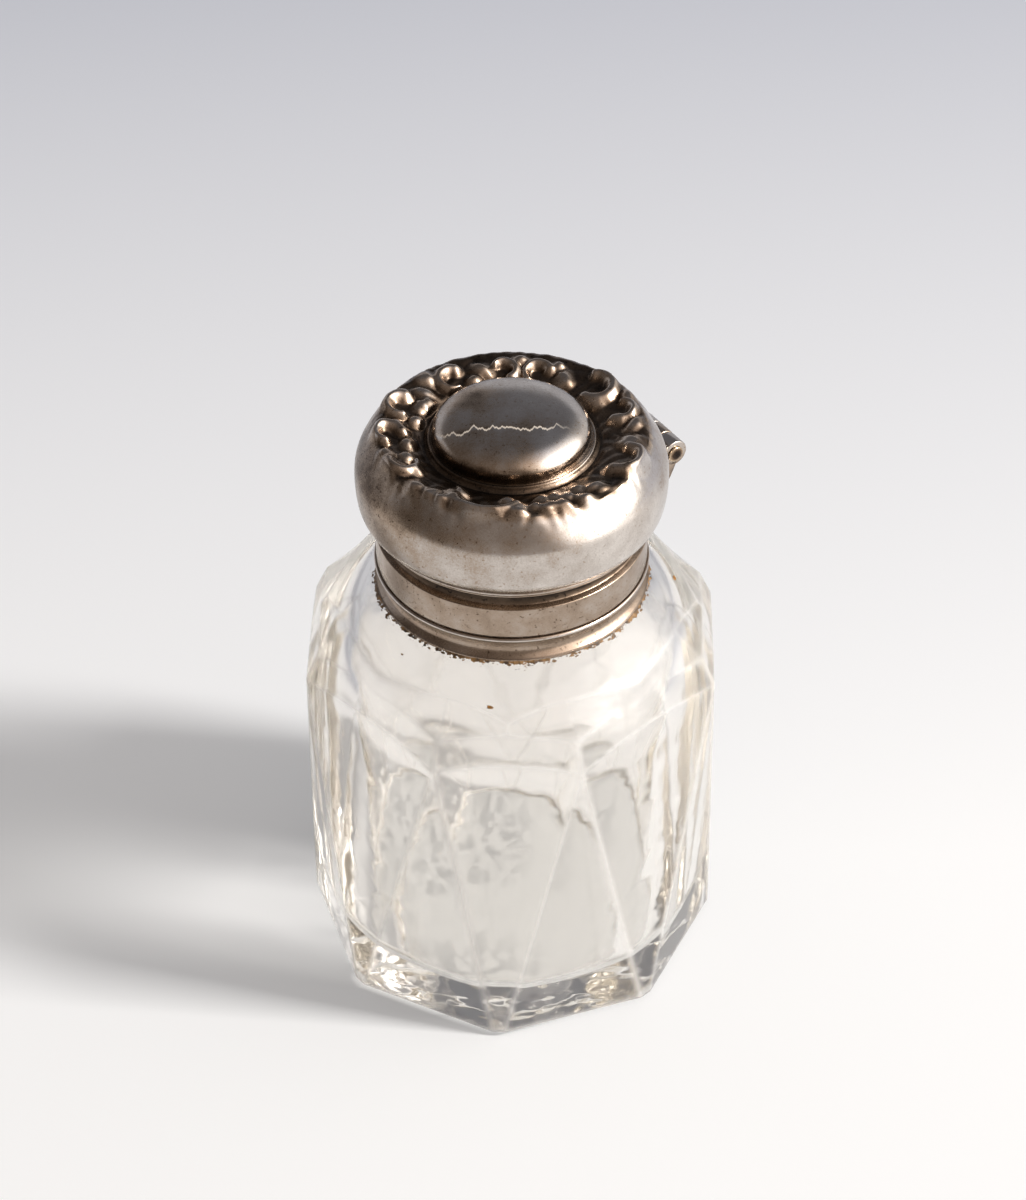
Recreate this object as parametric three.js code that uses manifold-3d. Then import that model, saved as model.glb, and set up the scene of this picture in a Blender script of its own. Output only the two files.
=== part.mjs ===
// Cut-glass scent bottle with a silver collar and a hinged, stamped silver lid.
// Millimetres, +Z up, origin at the centre of the base. The front is -Y, and azimuths are
// degrees from the front towards +X. One named mesh is one physical piece.

import * as THREE from "three";
import { mergeVertices } from "three/addons/utils/BufferGeometryUtils.js";
import Module from "manifold-3d";

const wasm = await Module();
wasm.setup();

// Driving dimensions of the glass body
const GIRDLE = { z: 31.5, apothem: 17.5, halfNarrowSide: 6.2, turn: -1.2 };
const BASE = { radius: 18.55, turn: -3.7, chamfer: 0.5, blunt: 0.6 }; // blunt is what each corner loses
const SIDE_STEPS = 6; // columns along each side of the girdle
const ARCH_RISE = 0.7; // how far each side facet's top bows above its chord
const CREST = { rise: 2.1, radiusNarrow: 17.0, radiusWide: 16.25 }; // crease above each arch
const SHOULDER_CORNER = { radius: 17.4, z: 34.1 }; // above each girdle corner
const SHOULDER_PEAK = { z: 34.9, radiusNarrow: 16.5, radiusWide: 15.8 }; // between two corners
const SCALLOP = { cornerRadius: 14.8, narrowRadius: 16.0, wideRadius: 15.3 };
const CONE = { topRadius: 12.0, topZ: 38.4, slope: 34.5 }; // plain cone under the collar
const NECK = { radius: 9.6, topZ: 45.6, lipRound: 0.5, footRound: 0.6 };
const BORE = { mouthRadius: 4.15, mouthRound: 0.3, endRadius: 3.95, endZ: 36.2 };
const CAVITY = {
  radius: 13.4,
  floorZ: 2.8,
  floorRound: 2.2,
  shoulderZ: 29.5,
  roofRadius: 6.0,
  roofZ: 35.4,
};

// Driving dimensions of the silver mount, with heights from the collar's foot
const TURNED_STEPS = 44; // facets round a turned silver piece
const SEAT_GAP = 0.05; // between two pieces that are soldered or cemented together
const COLLAR = {
  footZ: 38.5, // above the bottle's base
  flangeRadius: 11.95,
  radius: 11.85,
  wire: 2.4,
  cove: 5.6,
  seat: 7.25,
  wall: 0.5,
  coveDepth: 0.75,
};
const BEZEL = { radius: 11.15, wall: 0.35, flangeRadius: 9.75, flange: 6.6, top: 9.0 };
const CEMENT = { inset: 0.15, top: 6.5 };
const WIRE = { collarRadius: 0.2, lidRadius: 0.2, lidRingRadius: 11.95, lidDrop: 0.27, sides: 6 };

// Driving dimensions of the lid, with heights from its lip
const LIP_Z = 46.35; // above the bottle's base
const LID_STEPS = { side: 72, band: 144, dome: 48, back: 36 }; // columns round each zone
const LID_SIDE = [
  [12.1, 0.0],
  [12.2, 0.95],
  [12.75, 2.25],
  [13.1, 3.55],
  [12.95, 5.05],
  [12.3, 6.55],
  [11.45, 7.37],
]; // lip, bulge and shoulder, as [radius, height]
const LID_WALL = 0.42;
const BAND = { outerRadius: 11.1, innerRadius: 7.4, rim: 7.32, floor: 6.5, rows: 9 };
const DOME_SIDE = [
  [7.0, 6.65],
  [6.68, 7.1],
  [6.4, 7.9],
  [5.6, 8.6],
  [3.9, 9.2],
  [2.0, 9.55],
]; // from the moulded ring to the crown, as [radius, height]
const CROWN = 9.65;
const LINER = { radius: 11.62, wall: 0.28, top: 6.01, cornerRound: 1.2 };

// Scroll band. A scroll is an arc of `bend` mm round a point at `azimuth` and `radius`: it starts
// `from` degrees anticlockwise from outwards, runs on by `sweep`, and thins towards its end.
const SCROLLS = [
  { azimuth: -14, radius: 7.8, bend: 3.0, from: -76, sweep: 130, width: 0.85 },
  { azimuth: 47, radius: 9.6, bend: 1.1, from: -60, sweep: 160, width: 0.65 },
  { azimuth: 71.5, radius: 9.1, bend: 2.5, from: -88, sweep: 150, width: 0.9 },
  { azimuth: 109, radius: 9.8, bend: 1.25, from: -200, sweep: 280, width: 0.6 },
  { azimuth: 133, radius: 9.6, bend: 1.45, from: -15, sweep: 235, width: 0.8 },
  { azimuth: 157, radius: 8.9, bend: 1.05, from: 0, sweep: 300, width: 0.6 },
  { azimuth: -178, radius: 9.2, bend: 1.0, from: -120, sweep: 230, width: 0.6 },
  { azimuth: -147, radius: 9.2, bend: 1.15, from: -40, sweep: 220, width: 0.65 },
  { azimuth: -100, radius: 8.7, bend: 2.8, from: -103, sweep: 125, width: 0.7 },
  { azimuth: -87, radius: 10.0, bend: 1.05, from: -60, sweep: 250, width: 0.6 },
  { azimuth: -66, radius: 9.6, bend: 1.2, from: -30, sweep: 200, width: 0.65 },
];
const BEADS = [
  { azimuth: 2, radius: 10.1, size: 1.0 },
  { azimuth: -3, radius: 8.7, size: 0.7 },
  { azimuth: 12, radius: 9.6, size: 0.7 },
  { azimuth: 18, radius: 10.8, size: 0.8 },
  { azimuth: 21, radius: 9.0, size: 0.75 },
  { azimuth: 28, radius: 9.9, size: 0.75 },
  { azimuth: 35, radius: 9.0, size: 0.75 },
  { azimuth: 36, radius: 10.5, size: 0.75 },
  { azimuth: 84, radius: 9.7, size: 0.95 },
  { azimuth: 121, radius: 8.7, size: 0.7 },
  { azimuth: 168, radius: 10.2, size: 0.7 },
  { azimuth: -163, radius: 9.9, size: 0.8 },
  { azimuth: -132, radius: 10.4, size: 0.9 },
  { azimuth: -121, radius: 8.7, size: 0.8 },
  { azimuth: -76, radius: 10.8, size: 0.8 },
  { azimuth: -62, radius: 10.7, size: 0.95 },
  { azimuth: -58, radius: 9.3, size: 0.75 },
  { azimuth: -47, radius: 10.5, size: 0.9 },
  { azimuth: -38, radius: 10.2, size: 1.05 },
];
const ORNAMENT_RISE = 0.8;

// Driving dimensions of the stopper, with heights from the underside of its button
const STOPPER = {
  headFootZ: 45.68, // above the bottle's base
  plugEnd: -4.68,
  plugClearance: 0.05,
  waistRadius: 4.05,
  headRadius: 6.4,
  headTop: 1.52,
};

// Driving dimensions of the stand-away hinge
const HINGE = {
  azimuth: 123, // behind and to the right
  axisRadius: 15.0,
  axisZ: 46.8,
  barrelRadius: 1.2,
  boreRadius: 0.5,
  pinRadius: 0.44,
  pinHeadRadius: 0.72,
  pinHeadLength: 0.22,
  length: 5.1,
  knuckleGap: 0.1,
  barrelSides: 24,
};

const RADIANS = Math.PI / 180;

// Placing and joining

/** Point at a radius and an azimuth from the front, at height z. */
function around(radius, azimuth, z) {
  const a = azimuth * RADIANS;
  return new THREE.Vector3(radius * Math.sin(a), -radius * Math.cos(a), z);
}

/** Closed geometry as a solid that can be joined or cut. */
function solidOf(geometry) {
  const bare = geometry.clone();
  bare.deleteAttribute("normal");
  bare.deleteAttribute("uv");
  const merged = mergeVertices(bare, 1e-4);
  return new wasm.Manifold(
    new wasm.Mesh({
      numProp: 3,
      vertProperties: merged.attributes.position.array,
      triVerts: new Uint32Array(merged.index.array),
    }),
  );
}

/** Geometry of a joined or cut solid. */
function geometryOf(solid) {
  const mesh = solid.getMesh();
  return new THREE.BufferGeometry()
    .setAttribute("position", new THREE.BufferAttribute(mesh.vertProperties, 3))
    .setIndex(new THREE.BufferAttribute(mesh.triVerts, 1));
}

/** Turned body about +Z. The profile lists [radius, z] and runs anticlockwise, so its faces point out. */
function turned(profile, steps = TURNED_STEPS) {
  const points = profile.map(([radius, z]) => new THREE.Vector2(radius, z));
  return new THREE.LatheGeometry(points, steps).rotateX(Math.PI / 2);
}

/** Points of an arc from angle `from` to angle `to` in degrees, both ends included. */
function arc(centreR, centreZ, radius, from, to, steps) {
  return Array.from({ length: steps + 1 }, (_, i) => {
    const a = (from + ((to - from) * i) / steps) * RADIANS;
    return [centreR + radius * Math.cos(a), centreZ + radius * Math.sin(a)];
  });
}

/** Collects triangles on shared corners, and leaves out those that have shrunk to a line. */
class Facets {
  constructor() {
    this.corners = [];
    this.lookup = new Map();
    this.faces = [];
  }

  corner(p) {
    const key = [p.x, p.y, p.z].map((c) => Math.round(c * 1e4)).join();
    if (!this.lookup.has(key)) {
      this.lookup.set(key, this.corners.length / 3);
      this.corners.push(p.x, p.y, p.z);
    }
    return this.lookup.get(key);
  }

  triangle(a, b, c) {
    const [i, j, k] = [this.corner(a), this.corner(b), this.corner(c)];
    if (i !== j && j !== k && k !== i) this.faces.push(i, j, k);
  }

  /**
   * Strip between a lower and an upper ring, both anticlockwise from above and from the same
   * azimuth. One ring may have a whole number of times as many points as the other.
   */
  strip(lower, upper) {
    const steps = Math.max(lower.length, upper.length);
    const at = (ring, i) => ring[Math.floor((i * ring.length) / steps) % ring.length];
    for (let i = 0; i < steps; i++) {
      this.triangle(at(lower, i), at(lower, i + 1), at(upper, i + 1));
      this.triangle(at(lower, i), at(upper, i + 1), at(upper, i));
    }
  }

  /** Fan from a ring, anticlockwise seen from outside, to a point. */
  fan(ring, point) {
    ring.forEach((corner, i) => this.triangle(corner, ring[(i + 1) % ring.length], point));
  }

  geometry() {
    return new THREE.BufferGeometry()
      .setAttribute("position", new THREE.Float32BufferAttribute(this.corners, 3))
      .setIndex(this.faces);
  }
}

// The glass body

const SIDES = [0, 1, 2, 3, 4, 5, 6, 7];
const CORNER_RADIUS = Math.hypot(GIRDLE.apothem, GIRDLE.halfNarrowSide);
const CORNER_OFFSET = Math.atan2(GIRDLE.halfNarrowSide, GIRDLE.apothem) / RADIANS;

/** Side k of the girdle, 0 at the front, even sides narrow and odd sides wide. */
function girdleSide(k) {
  const narrow = k % 2 === 0;
  const half = narrow ? CORNER_OFFSET : 45 - CORNER_OFFSET;
  const middle = 45 * k + GIRDLE.turn;
  return { narrow, middle, from: middle - half, to: middle + half };
}

/** Height of the plain cone at a radius. */
function coneZ(radius) {
  return CONE.topZ - (radius - CONE.topRadius) * Math.tan(CONE.slope * RADIANS);
}

const NECK_FOOT_Z = coneZ(NECK.radius) + NECK.footRound;

/** The foot's octagon at a corner radius and a height, two points to a corner because it is ground off. */
function footRing(radius, z) {
  const corner = (k) => around(radius, 45 * k + BASE.turn, z);
  const towards = (k, other) => corner(other).sub(corner(k)).setLength(BASE.blunt).add(corner(k));
  return SIDES.flatMap((k) => [towards(k, k - 1), towards(k, k + 1)]);
}

/** The rings of the cut shoulder over one side, each as SIDE_STEPS points from the side's first corner. */
function shoulderRings(k) {
  const side = girdleSide(k);
  const start = around(CORNER_RADIUS, side.from, GIRDLE.z);
  const end = around(CORNER_RADIUS, side.to, GIRDLE.z);
  const [left, right] = footRing(BASE.radius, BASE.chamfer).slice(2 * k, 2 * k + 2);
  const foot = left.add(right).multiplyScalar(0.5);
  const upFacet = start.clone().add(end).multiplyScalar(0.5).sub(foot).normalize();
  const crestRadius = side.narrow ? CREST.radiusNarrow : CREST.radiusWide;
  const crest = around(crestRadius, side.middle, GIRDLE.z + CREST.rise);
  const cornerA = around(SHOULDER_CORNER.radius, side.from, SHOULDER_CORNER.z);
  const cornerB = around(SHOULDER_CORNER.radius, side.to, SHOULDER_CORNER.z);
  const peakRadius = side.narrow ? SHOULDER_PEAK.radiusNarrow : SHOULDER_PEAK.radiusWide;
  const peak = around(peakRadius, side.middle, SHOULDER_PEAK.z);
  const scallopRadius = side.narrow ? SCALLOP.narrowRadius : SCALLOP.wideRadius;
  const rings = { arch: [], crest: [], edge: [], scallop: [] };
  for (let i = 0; i < SIDE_STEPS; i++) {
    const t = i / SIDE_STEPS;
    const bow = 4 * t * (1 - t); // 0 at the corners, 1 in the middle
    const chord = start.clone().lerp(end, t);
    rings.arch.push(chord.clone().addScaledVector(upFacet, ARCH_RISE * bow));
    const chordMiddle = start.clone().lerp(end, 0.5);
    rings.crest.push(chord.clone().addScaledVector(crest.clone().sub(chordMiddle), bow));
    const firstHalf = t <= 0.5;
    const edge = firstHalf ? cornerA.clone().lerp(peak, 2 * t) : peak.clone().lerp(cornerB, 2 * t - 1);
    rings.edge.push(edge);
    const fromCorner = 1 - Math.abs(1 - 2 * t); // 0 at a corner, 1 in the side's middle
    const azimuth = side.from + (side.to - side.from) * t;
    const radius = SCALLOP.cornerRadius + (scallopRadius - SCALLOP.cornerRadius) * fromCorner ** 2;
    rings.scallop.push(around(radius, azimuth, coneZ(radius)));
  }
  return rings;
}

/** The cut-glass body: faceted outside, turned neck, bore and cavity inside, as one closed surface. */
function glassBottle() {
  const glass = new Facets();
  const shoulder = SIDES.map(shoulderRings);
  const feet = footRing(BASE.radius, BASE.chamfer);
  const sole = footRing(BASE.radius - BASE.chamfer, 0);
  glass.strip(sole, feet);
  glass.fan(sole.toReversed(), new THREE.Vector3());
  SIDES.forEach((k) => {
    const [left, right] = feet.slice(2 * k, 2 * k + 2);
    const next = (k + 1) % SIDES.length;
    const arch = [...shoulder[k].arch, shoulder[next].arch[0]];
    for (let i = 0; i < SIDE_STEPS; i++) {
      glass.triangle(i < SIDE_STEPS / 2 ? left : right, arch[i + 1], arch[i]);
    }
    glass.triangle(left, right, arch[SIDE_STEPS / 2]);
    glass.triangle(right, feet[2 * next], arch[SIDE_STEPS]);
  });
  const ring = (name) => shoulder.flatMap((rings) => rings[name]);
  const azimuths = SIDES.flatMap((k) => {
    const { from, to } = girdleSide(k);
    return Array.from({ length: SIDE_STEPS }, (_, i) => from + ((to - from) * i) / SIDE_STEPS);
  });
  const turnedRing = ([radius, z]) => azimuths.map((azimuth) => around(radius, azimuth, z));
  const lipCentreR = NECK.radius - NECK.lipRound;
  const lipCentreZ = NECK.topZ - NECK.lipRound;
  const floorCentreZ = CAVITY.floorZ + CAVITY.floorRound;
  const profile = [
    [CONE.topRadius, CONE.topZ],
    [NECK.radius + NECK.footRound, coneZ(NECK.radius + NECK.footRound)],
    [NECK.radius, NECK_FOOT_Z],
    ...arc(lipCentreR, lipCentreZ, NECK.lipRound, 0, 90, 2),
    [BORE.mouthRadius + BORE.mouthRound, NECK.topZ],
    [BORE.mouthRadius, NECK.topZ - BORE.mouthRound],
    [BORE.endRadius, BORE.endZ],
    [CAVITY.roofRadius, CAVITY.roofZ],
    [0.5 * (CAVITY.roofRadius + CAVITY.radius), CAVITY.roofZ - 2.3],
    [CAVITY.radius - 0.9, CAVITY.shoulderZ + 1.6],
    [CAVITY.radius, CAVITY.shoulderZ],
    ...arc(CAVITY.radius - CAVITY.floorRound, floorCentreZ, CAVITY.floorRound, 0, -90, 3),
  ];
  const rings = [ring("arch"), ring("crest"), ring("edge"), ring("scallop"), ...profile.map(turnedRing)];
  for (let i = 0; i + 1 < rings.length; i++) glass.strip(rings[i], rings[i + 1]);
  glass.fan(rings.at(-1), new THREE.Vector3(0, 0, CAVITY.floorZ));
  return glass.geometry();
}

/** Ground stopper: a tapered plug in the bore under a low domed button. */
function glassStopper() {
  const { headFootZ, plugEnd, plugClearance, waistRadius, headRadius, headTop } = STOPPER;
  const taper = (BORE.mouthRadius - BORE.endRadius) / (NECK.topZ - BORE.mouthRound - BORE.endZ);
  const plugRadius = (height) => BORE.endRadius + taper * (headFootZ + height - BORE.endZ) - plugClearance;
  const endRound = 0.4;
  return turned([
    [0, plugEnd],
    [plugRadius(plugEnd) - endRound, plugEnd],
    [plugRadius(plugEnd + endRound), plugEnd + endRound],
    [plugRadius(-endRound), -endRound],
    [waistRadius, 0],
    [headRadius - endRound, 0],
    [headRadius, headTop / 2],
    [headRadius - 1.5 * endRound, headTop - 0.25],
    [headRadius / 2, headTop],
    [0, headTop],
  ]);
}

// The silver mount

/** Height of the glass cone above the collar's foot, with room for the plaster under the silver. */
function collarFootOn(radius) {
  return coneZ(radius) + CEMENT.inset - COLLAR.footZ;
}

/** Plaster ring that holds the collar on the neck. */
function neckCement() {
  const inner = NECK.radius + SEAT_GAP;
  const outer = COLLAR.radius - COLLAR.wall - COLLAR.coveDepth - SEAT_GAP;
  const foot = [inner, NECK_FOOT_Z + CEMENT.inset - COLLAR.footZ];
  return turned([foot, [outer, collarFootOn(outer)], [outer, CEMENT.top], [inner, CEMENT.top], foot]);
}

/** Spun collar: foot flange on the glass, rolled ledge, plain band, and a hollow cove under the lid. */
function collarBand() {
  const { flangeRadius, radius, wire, cove, seat, wall, coveDepth } = COLLAR;
  const coveMiddle = 0.5 * (cove + seat);
  const ledgeRadius = radius - 0.35;
  const rimRadius = radius + 0.1;
  const inner = radius - wall - coveDepth;
  const mouth = BEZEL.radius + SEAT_GAP;
  const outside = [
    [flangeRadius, 0],
    [flangeRadius - 0.05, 0.5],
    [ledgeRadius, 1.4],
    [ledgeRadius, wire],
    [radius, wire + 0.35],
    [radius, cove],
    [radius - 0.45, cove + 0.25],
    [radius - coveDepth, coveMiddle],
    [radius - 0.4, seat - 0.35],
    [rimRadius, seat - 0.12],
    [rimRadius, seat],
  ];
  const inside = [
    [mouth, seat],
    [mouth, seat - 0.4],
    [inner, coveMiddle],
    [inner, collarFootOn(inner)],
    [flangeRadius - wall, collarFootOn(flangeRadius - wall)],
  ];
  return turned([...outside, ...inside, outside[0]]);
}

/** Round wire bent to a ring. */
function wireRing(ringRadius, wireRadius) {
  return turned(arc(ringRadius, 0, wireRadius, 0, 360, WIRE.sides));
}

/** Upstand that centres the lid, in one piece with the flange that covers the cement. */
function collarBezel() {
  const { radius, wall, flangeRadius, flange, top } = BEZEL;
  const sheet = 0.3;
  const start = [flangeRadius, flange];
  return turned([
    start,
    [radius - 0.4, flange],
    [radius, flange + 0.32],
    [radius, top],
    [radius - wall, top],
    [radius - wall, flange + 1.5 * sheet],
    [radius - wall - sheet / 2, flange + sheet],
    [flangeRadius, flange + sheet],
    start,
  ]);
}

// The lid

/** Smooth hill that is 1 at its middle and dies out at `width`. */
function hill(distance, width) {
  return 0.5 + 0.5 * Math.cos(Math.PI * Math.min(1, distance / width));
}

/** Distance from a point to a scroll's arc, and how far along the arc its nearest point lies, 0 to 1. */
function nearestOnScroll({ azimuth, radius, bend, from, sweep }, x, y) {
  const centre = around(radius, azimuth, 0);
  const outward = Math.atan2(centre.y, centre.x) / RADIANS;
  const angle = Math.atan2(y - centre.y, x - centre.x) / RADIANS;
  const past = THREE.MathUtils.euclideanModulo(angle - outward - from, 360);
  const nearerStart = past - sweep > (360 - sweep) / 2;
  const along = past <= sweep ? past : nearerStart ? 0 : sweep;
  const a = (outward + from + along) * RADIANS;
  const distance = Math.hypot(x - centre.x - bend * Math.cos(a), y - centre.y - bend * Math.sin(a));
  return { distance, share: along / sweep };
}

/** Rise of the stamped ornament above the band's floor, at a point on the lid seen from above. */
function ornamentRise(x, y) {
  const scrolls = SCROLLS.map((scroll) => {
    const { distance, share } = nearestOnScroll(scroll, x, y);
    return hill(distance, scroll.width * (1.15 - 0.4 * share));
  });
  const beads = BEADS.map(({ azimuth, radius, size }) => {
    const centre = around(radius, azimuth, 0);
    return hill(Math.hypot(x - centre.x, y - centre.y), size);
  });
  return ORNAMENT_RISE * Math.max(...scrolls, ...beads);
}

/** Ring round the lid's axis at a radius and height, lifted by the ornament where `share` is above 0. */
function lidRing([radius, height], columns, share = 0) {
  return Array.from({ length: columns }, (_, i) => {
    const point = around(radius, (360 * i) / columns, height);
    if (share > 0) point.z += share * ornamentRise(point.x, point.y);
    return point;
  });
}

/** Points from lip to shoulder on a smooth curve through LID_SIDE, moved outwards by `offset`. */
function lidSide(steps, offset = 0) {
  const curve = new THREE.SplineCurve(LID_SIDE.map(([radius, height]) => new THREE.Vector2(radius, height)));
  return curve.getPoints(steps).map((point, i) => {
    const tangent = curve.getTangent(i / steps);
    return [point.x + offset * tangent.y, point.y - offset * tangent.x];
  });
}

/** Row `i` of the scroll band: a shallow trough whose ornament fades at both of its edges. */
function bandRow(i) {
  const t = i / BAND.rows;
  const radius = BAND.outerRadius + (BAND.innerRadius - BAND.outerRadius) * t;
  const outerSlope = (BAND.rim - BAND.floor) * Math.max(0, 1 - 3.5 * t) ** 2;
  return lidRing([radius, BAND.floor + outerSlope], LID_STEPS.band, Math.sin(Math.PI * (0.1 + 0.8 * t)));
}

/** Stamped lid: bulged side, sunk band of scrolls, and a plain dome inside a moulded ring. */
function lidShell() {
  const lid = new Facets();
  const band = Array.from({ length: BAND.rows + 1 }, (_, i) => bandRow(i));
  const outside = [
    ...lidSide(8).map((point) => lidRing(point, LID_STEPS.side)),
    ...band,
    ...DOME_SIDE.map((point) => lidRing(point, LID_STEPS.dome)),
  ];
  const [, ringFoot, , , domeTop, domeFlat] = DOME_SIDE;
  const bandBack = BAND.floor - LID_WALL;
  const inside = [
    [domeFlat[0], domeFlat[1] - LID_WALL],
    [domeTop[0], domeTop[1] - LID_WALL],
    [ringFoot[0] - 2 * LID_WALL, ringFoot[1]],
    [ringFoot[0] - LID_WALL, bandBack],
    [BAND.outerRadius - LID_WALL, bandBack],
    ...lidSide(5, -LID_WALL).slice(0, -1).reverse(), // the last point would lie above the band's back
  ].map((point) => lidRing(point, LID_STEPS.back));
  outside.slice(1).forEach((ring, i) => lid.strip(outside[i], ring));
  lid.fan(outside.at(-1), new THREE.Vector3(0, 0, CROWN));
  lid.fan(inside[0].toReversed(), new THREE.Vector3(0, 0, CROWN - LID_WALL));
  inside.slice(1).forEach((ring, i) => lid.strip(inside[i], ring));
  lid.strip(inside.at(-1), outside[0]);
  return lid.geometry();
}

/** Gilt inner cap that closes the hollow back of the stamping. */
function lidLiner() {
  const { radius, wall, top, cornerRound } = LINER;
  const corner = (round, from, to) => arc(radius - cornerRound, top - cornerRound, round, from, to, 3);
  const outside = [[radius, 0], ...corner(cornerRound, 0, 90), [0, top]];
  const inside = [[0, top - wall], ...corner(cornerRound - wall, 90, 0), [radius - wall, 0]];
  return turned([...outside, ...inside, outside[0]]);
}

// The stand-away hinge, in its own frame: X outwards, Y along the pin, and the pin's axis at the origin

const KNUCKLE_LENGTH = (HINGE.length - 2 * HINGE.knuckleGap) / 3;
const HINGE_PLACE = around(HINGE.axisRadius, HINGE.azimuth, HINGE.axisZ);
const HINGE_TURN = (HINGE.azimuth - 90) * RADIANS;

/** Geometry of the bottle's frame, seen from the hinge's own. */
function fromHinge(geometry) {
  return geometry.translate(...HINGE_PLACE.clone().negate()).rotateZ(-HINGE_TURN);
}

/** Cylinder on the pin's axis, from `start` to `start + length` along it. */
function onPin(radius, start, length) {
  const cylinder = new THREE.CylinderGeometry(radius, radius, length, HINGE.barrelSides);
  return cylinder.translate(0, start + length / 2, 0);
}

/** Strap of an outline square to the pin, extruded along it from `start` over `length`. */
function strap(outline, start, length) {
  const slab = new THREE.ExtrudeGeometry(outline, { depth: length, bevelEnabled: false, curveSegments: 5 });
  return slab.rotateX(Math.PI / 2).translate(0, start + length, 0);
}

/** Strap curving up from the collar's band, with the two outer knuckles. */
function collarHingeLeaf() {
  const reach = COLLAR.radius - 0.6 - HINGE.axisRadius; // into the band, to be cut back to its wall
  const outline = new THREE.Shape();
  outline.moveTo(reach, -4.5);
  outline.quadraticCurveTo(-0.4, -4.0, 0.3, -0.7);
  outline.lineTo(-0.9, -0.6);
  outline.quadraticCurveTo(-1.3, -3.1, reach, -3.5);
  const half = HINGE.length / 2;
  const wallRadius = COLLAR.radius + SEAT_GAP;
  const wall = new THREE.CylinderGeometry(wallRadius, wallRadius, COLLAR.seat, TURNED_STEPS);
  wall.rotateX(Math.PI / 2).translate(0, 0, COLLAR.footZ + COLLAR.seat / 2);
  const roomLength = KNUCKLE_LENGTH + 2 * HINGE.knuckleGap;
  const middleRoom = onPin(HINGE.barrelRadius + HINGE.knuckleGap, -roomLength / 2, roomLength);
  return geometryOf(
    solidOf(strap(outline, -half, HINGE.length))
      .add(solidOf(onPin(HINGE.barrelRadius, -half, KNUCKLE_LENGTH)))
      .add(solidOf(onPin(HINGE.barrelRadius, half - KNUCKLE_LENGTH, KNUCKLE_LENGTH)))
      .subtract(solidOf(middleRoom))
      .subtract(solidOf(fromHinge(wall)))
      .subtract(solidOf(onPin(HINGE.boreRadius, -HINGE.length, 2 * HINGE.length))),
  );
}

/** Short strap from the lid's side, with the middle knuckle. */
function lidHingeLeaf() {
  const reach = LID_SIDE[0][0] - 0.3 - HINGE.axisRadius; // into the lid, to be cut back to its side
  const outline = new THREE.Shape();
  outline.moveTo(reach, 0.0);
  outline.lineTo(-0.9, -0.55);
  outline.lineTo(-0.1, 1.1);
  outline.quadraticCurveTo(-1.2, 0.9, reach, 1.7);
  const side = lidSide(8, SEAT_GAP).map(([radius, height]) => [radius, LIP_Z + height]);
  const lidWall = turned([[0, side[0][1]], ...side, [0, side.at(-1)[1]]], LID_STEPS.side);
  return geometryOf(
    solidOf(strap(outline, -KNUCKLE_LENGTH / 2, KNUCKLE_LENGTH))
      .add(solidOf(onPin(HINGE.barrelRadius, -KNUCKLE_LENGTH / 2, KNUCKLE_LENGTH)))
      .subtract(solidOf(fromHinge(lidWall)))
      .subtract(solidOf(onPin(HINGE.boreRadius, -KNUCKLE_LENGTH, 2 * KNUCKLE_LENGTH))),
  );
}

/** Hinge pin with both ends peened over. */
function hingePin() {
  const { pinRadius, pinHeadRadius, pinHeadLength, knuckleGap, barrelSides } = HINGE;
  const end = HINGE.length / 2 + knuckleGap / 2;
  const half = [
    [pinRadius, end],
    [pinHeadRadius, end],
    [pinHeadRadius, end + pinHeadLength / 2],
    [pinHeadRadius * 0.6, end + pinHeadLength],
    [0, end + pinHeadLength],
  ];
  const mirrored = half.map(([radius, y]) => [radius, -y]).reverse();
  const points = [...mirrored, ...half].map(([radius, y]) => new THREE.Vector2(radius, y));
  return new THREE.LatheGeometry(points, barrelSides);
}

// Finishes

const finish = (color, roughness, metalness) =>
  new THREE.MeshStandardMaterial({ color, roughness, metalness });
const cutGlass = () => {
  const glass = finish(0xf2f0e6, 0.04, 0);
  glass.transparent = true;
  glass.opacity = 0.4;
  return glass;
};
const agedSilver = () => finish(0xa59c92, 0.34, 1);
const giltSilver = () => finish(0xc2a15c, 0.3, 1);

/** One physical piece. */
function piece(name, geometry, material, height = 0) {
  const mesh = new THREE.Mesh(geometry, material);
  mesh.name = name;
  mesh.position.z = height;
  return mesh;
}

/** Pieces that share a frame, at a height on the bottle's axis. */
function assembly(name, height, ...pieces) {
  const group = new THREE.Group().add(...pieces);
  group.name = name;
  group.position.z = height;
  return group;
}

const collarWire = wireRing(COLLAR.radius + WIRE.collarRadius / 2, WIRE.collarRadius);
const mount = assembly(
  "mount",
  COLLAR.footZ,
  piece("neck_cement", neckCement(), finish(0xd8cfbd, 0.9, 0)),
  piece("collar_band", collarBand(), agedSilver()),
  piece("collar_bead_wire", collarWire, agedSilver(), COLLAR.wire),
  piece("collar_bezel", collarBezel(), agedSilver()),
);
const stopper = assembly("stopper", STOPPER.headFootZ, piece("glass_stopper", glassStopper(), cutGlass()));
const lid = assembly(
  "lid",
  LIP_Z,
  piece("lid_shell", lidShell(), agedSilver()),
  piece("lid_rim_wire", wireRing(WIRE.lidRingRadius, WIRE.lidRadius), agedSilver(), -WIRE.lidDrop),
  piece("lid_liner", lidLiner(), giltSilver()),
);
const hinge = assembly(
  "hinge",
  0,
  piece("collar_hinge_leaf", collarHingeLeaf(), agedSilver()),
  piece("hinge_pin", hingePin(), finish(0x9a7350, 0.4, 1)),
  piece("lid_hinge_leaf", lidHingeLeaf(), agedSilver()),
);
hinge.position.copy(HINGE_PLACE);
hinge.rotation.z = HINGE_TURN;

const body = piece("glass_bottle", glassBottle(), cutGlass());
const scentBottle = assembly("scent_bottle", 0, body, mount, stopper, lid, hinge);

export default scentBottle;
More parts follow.
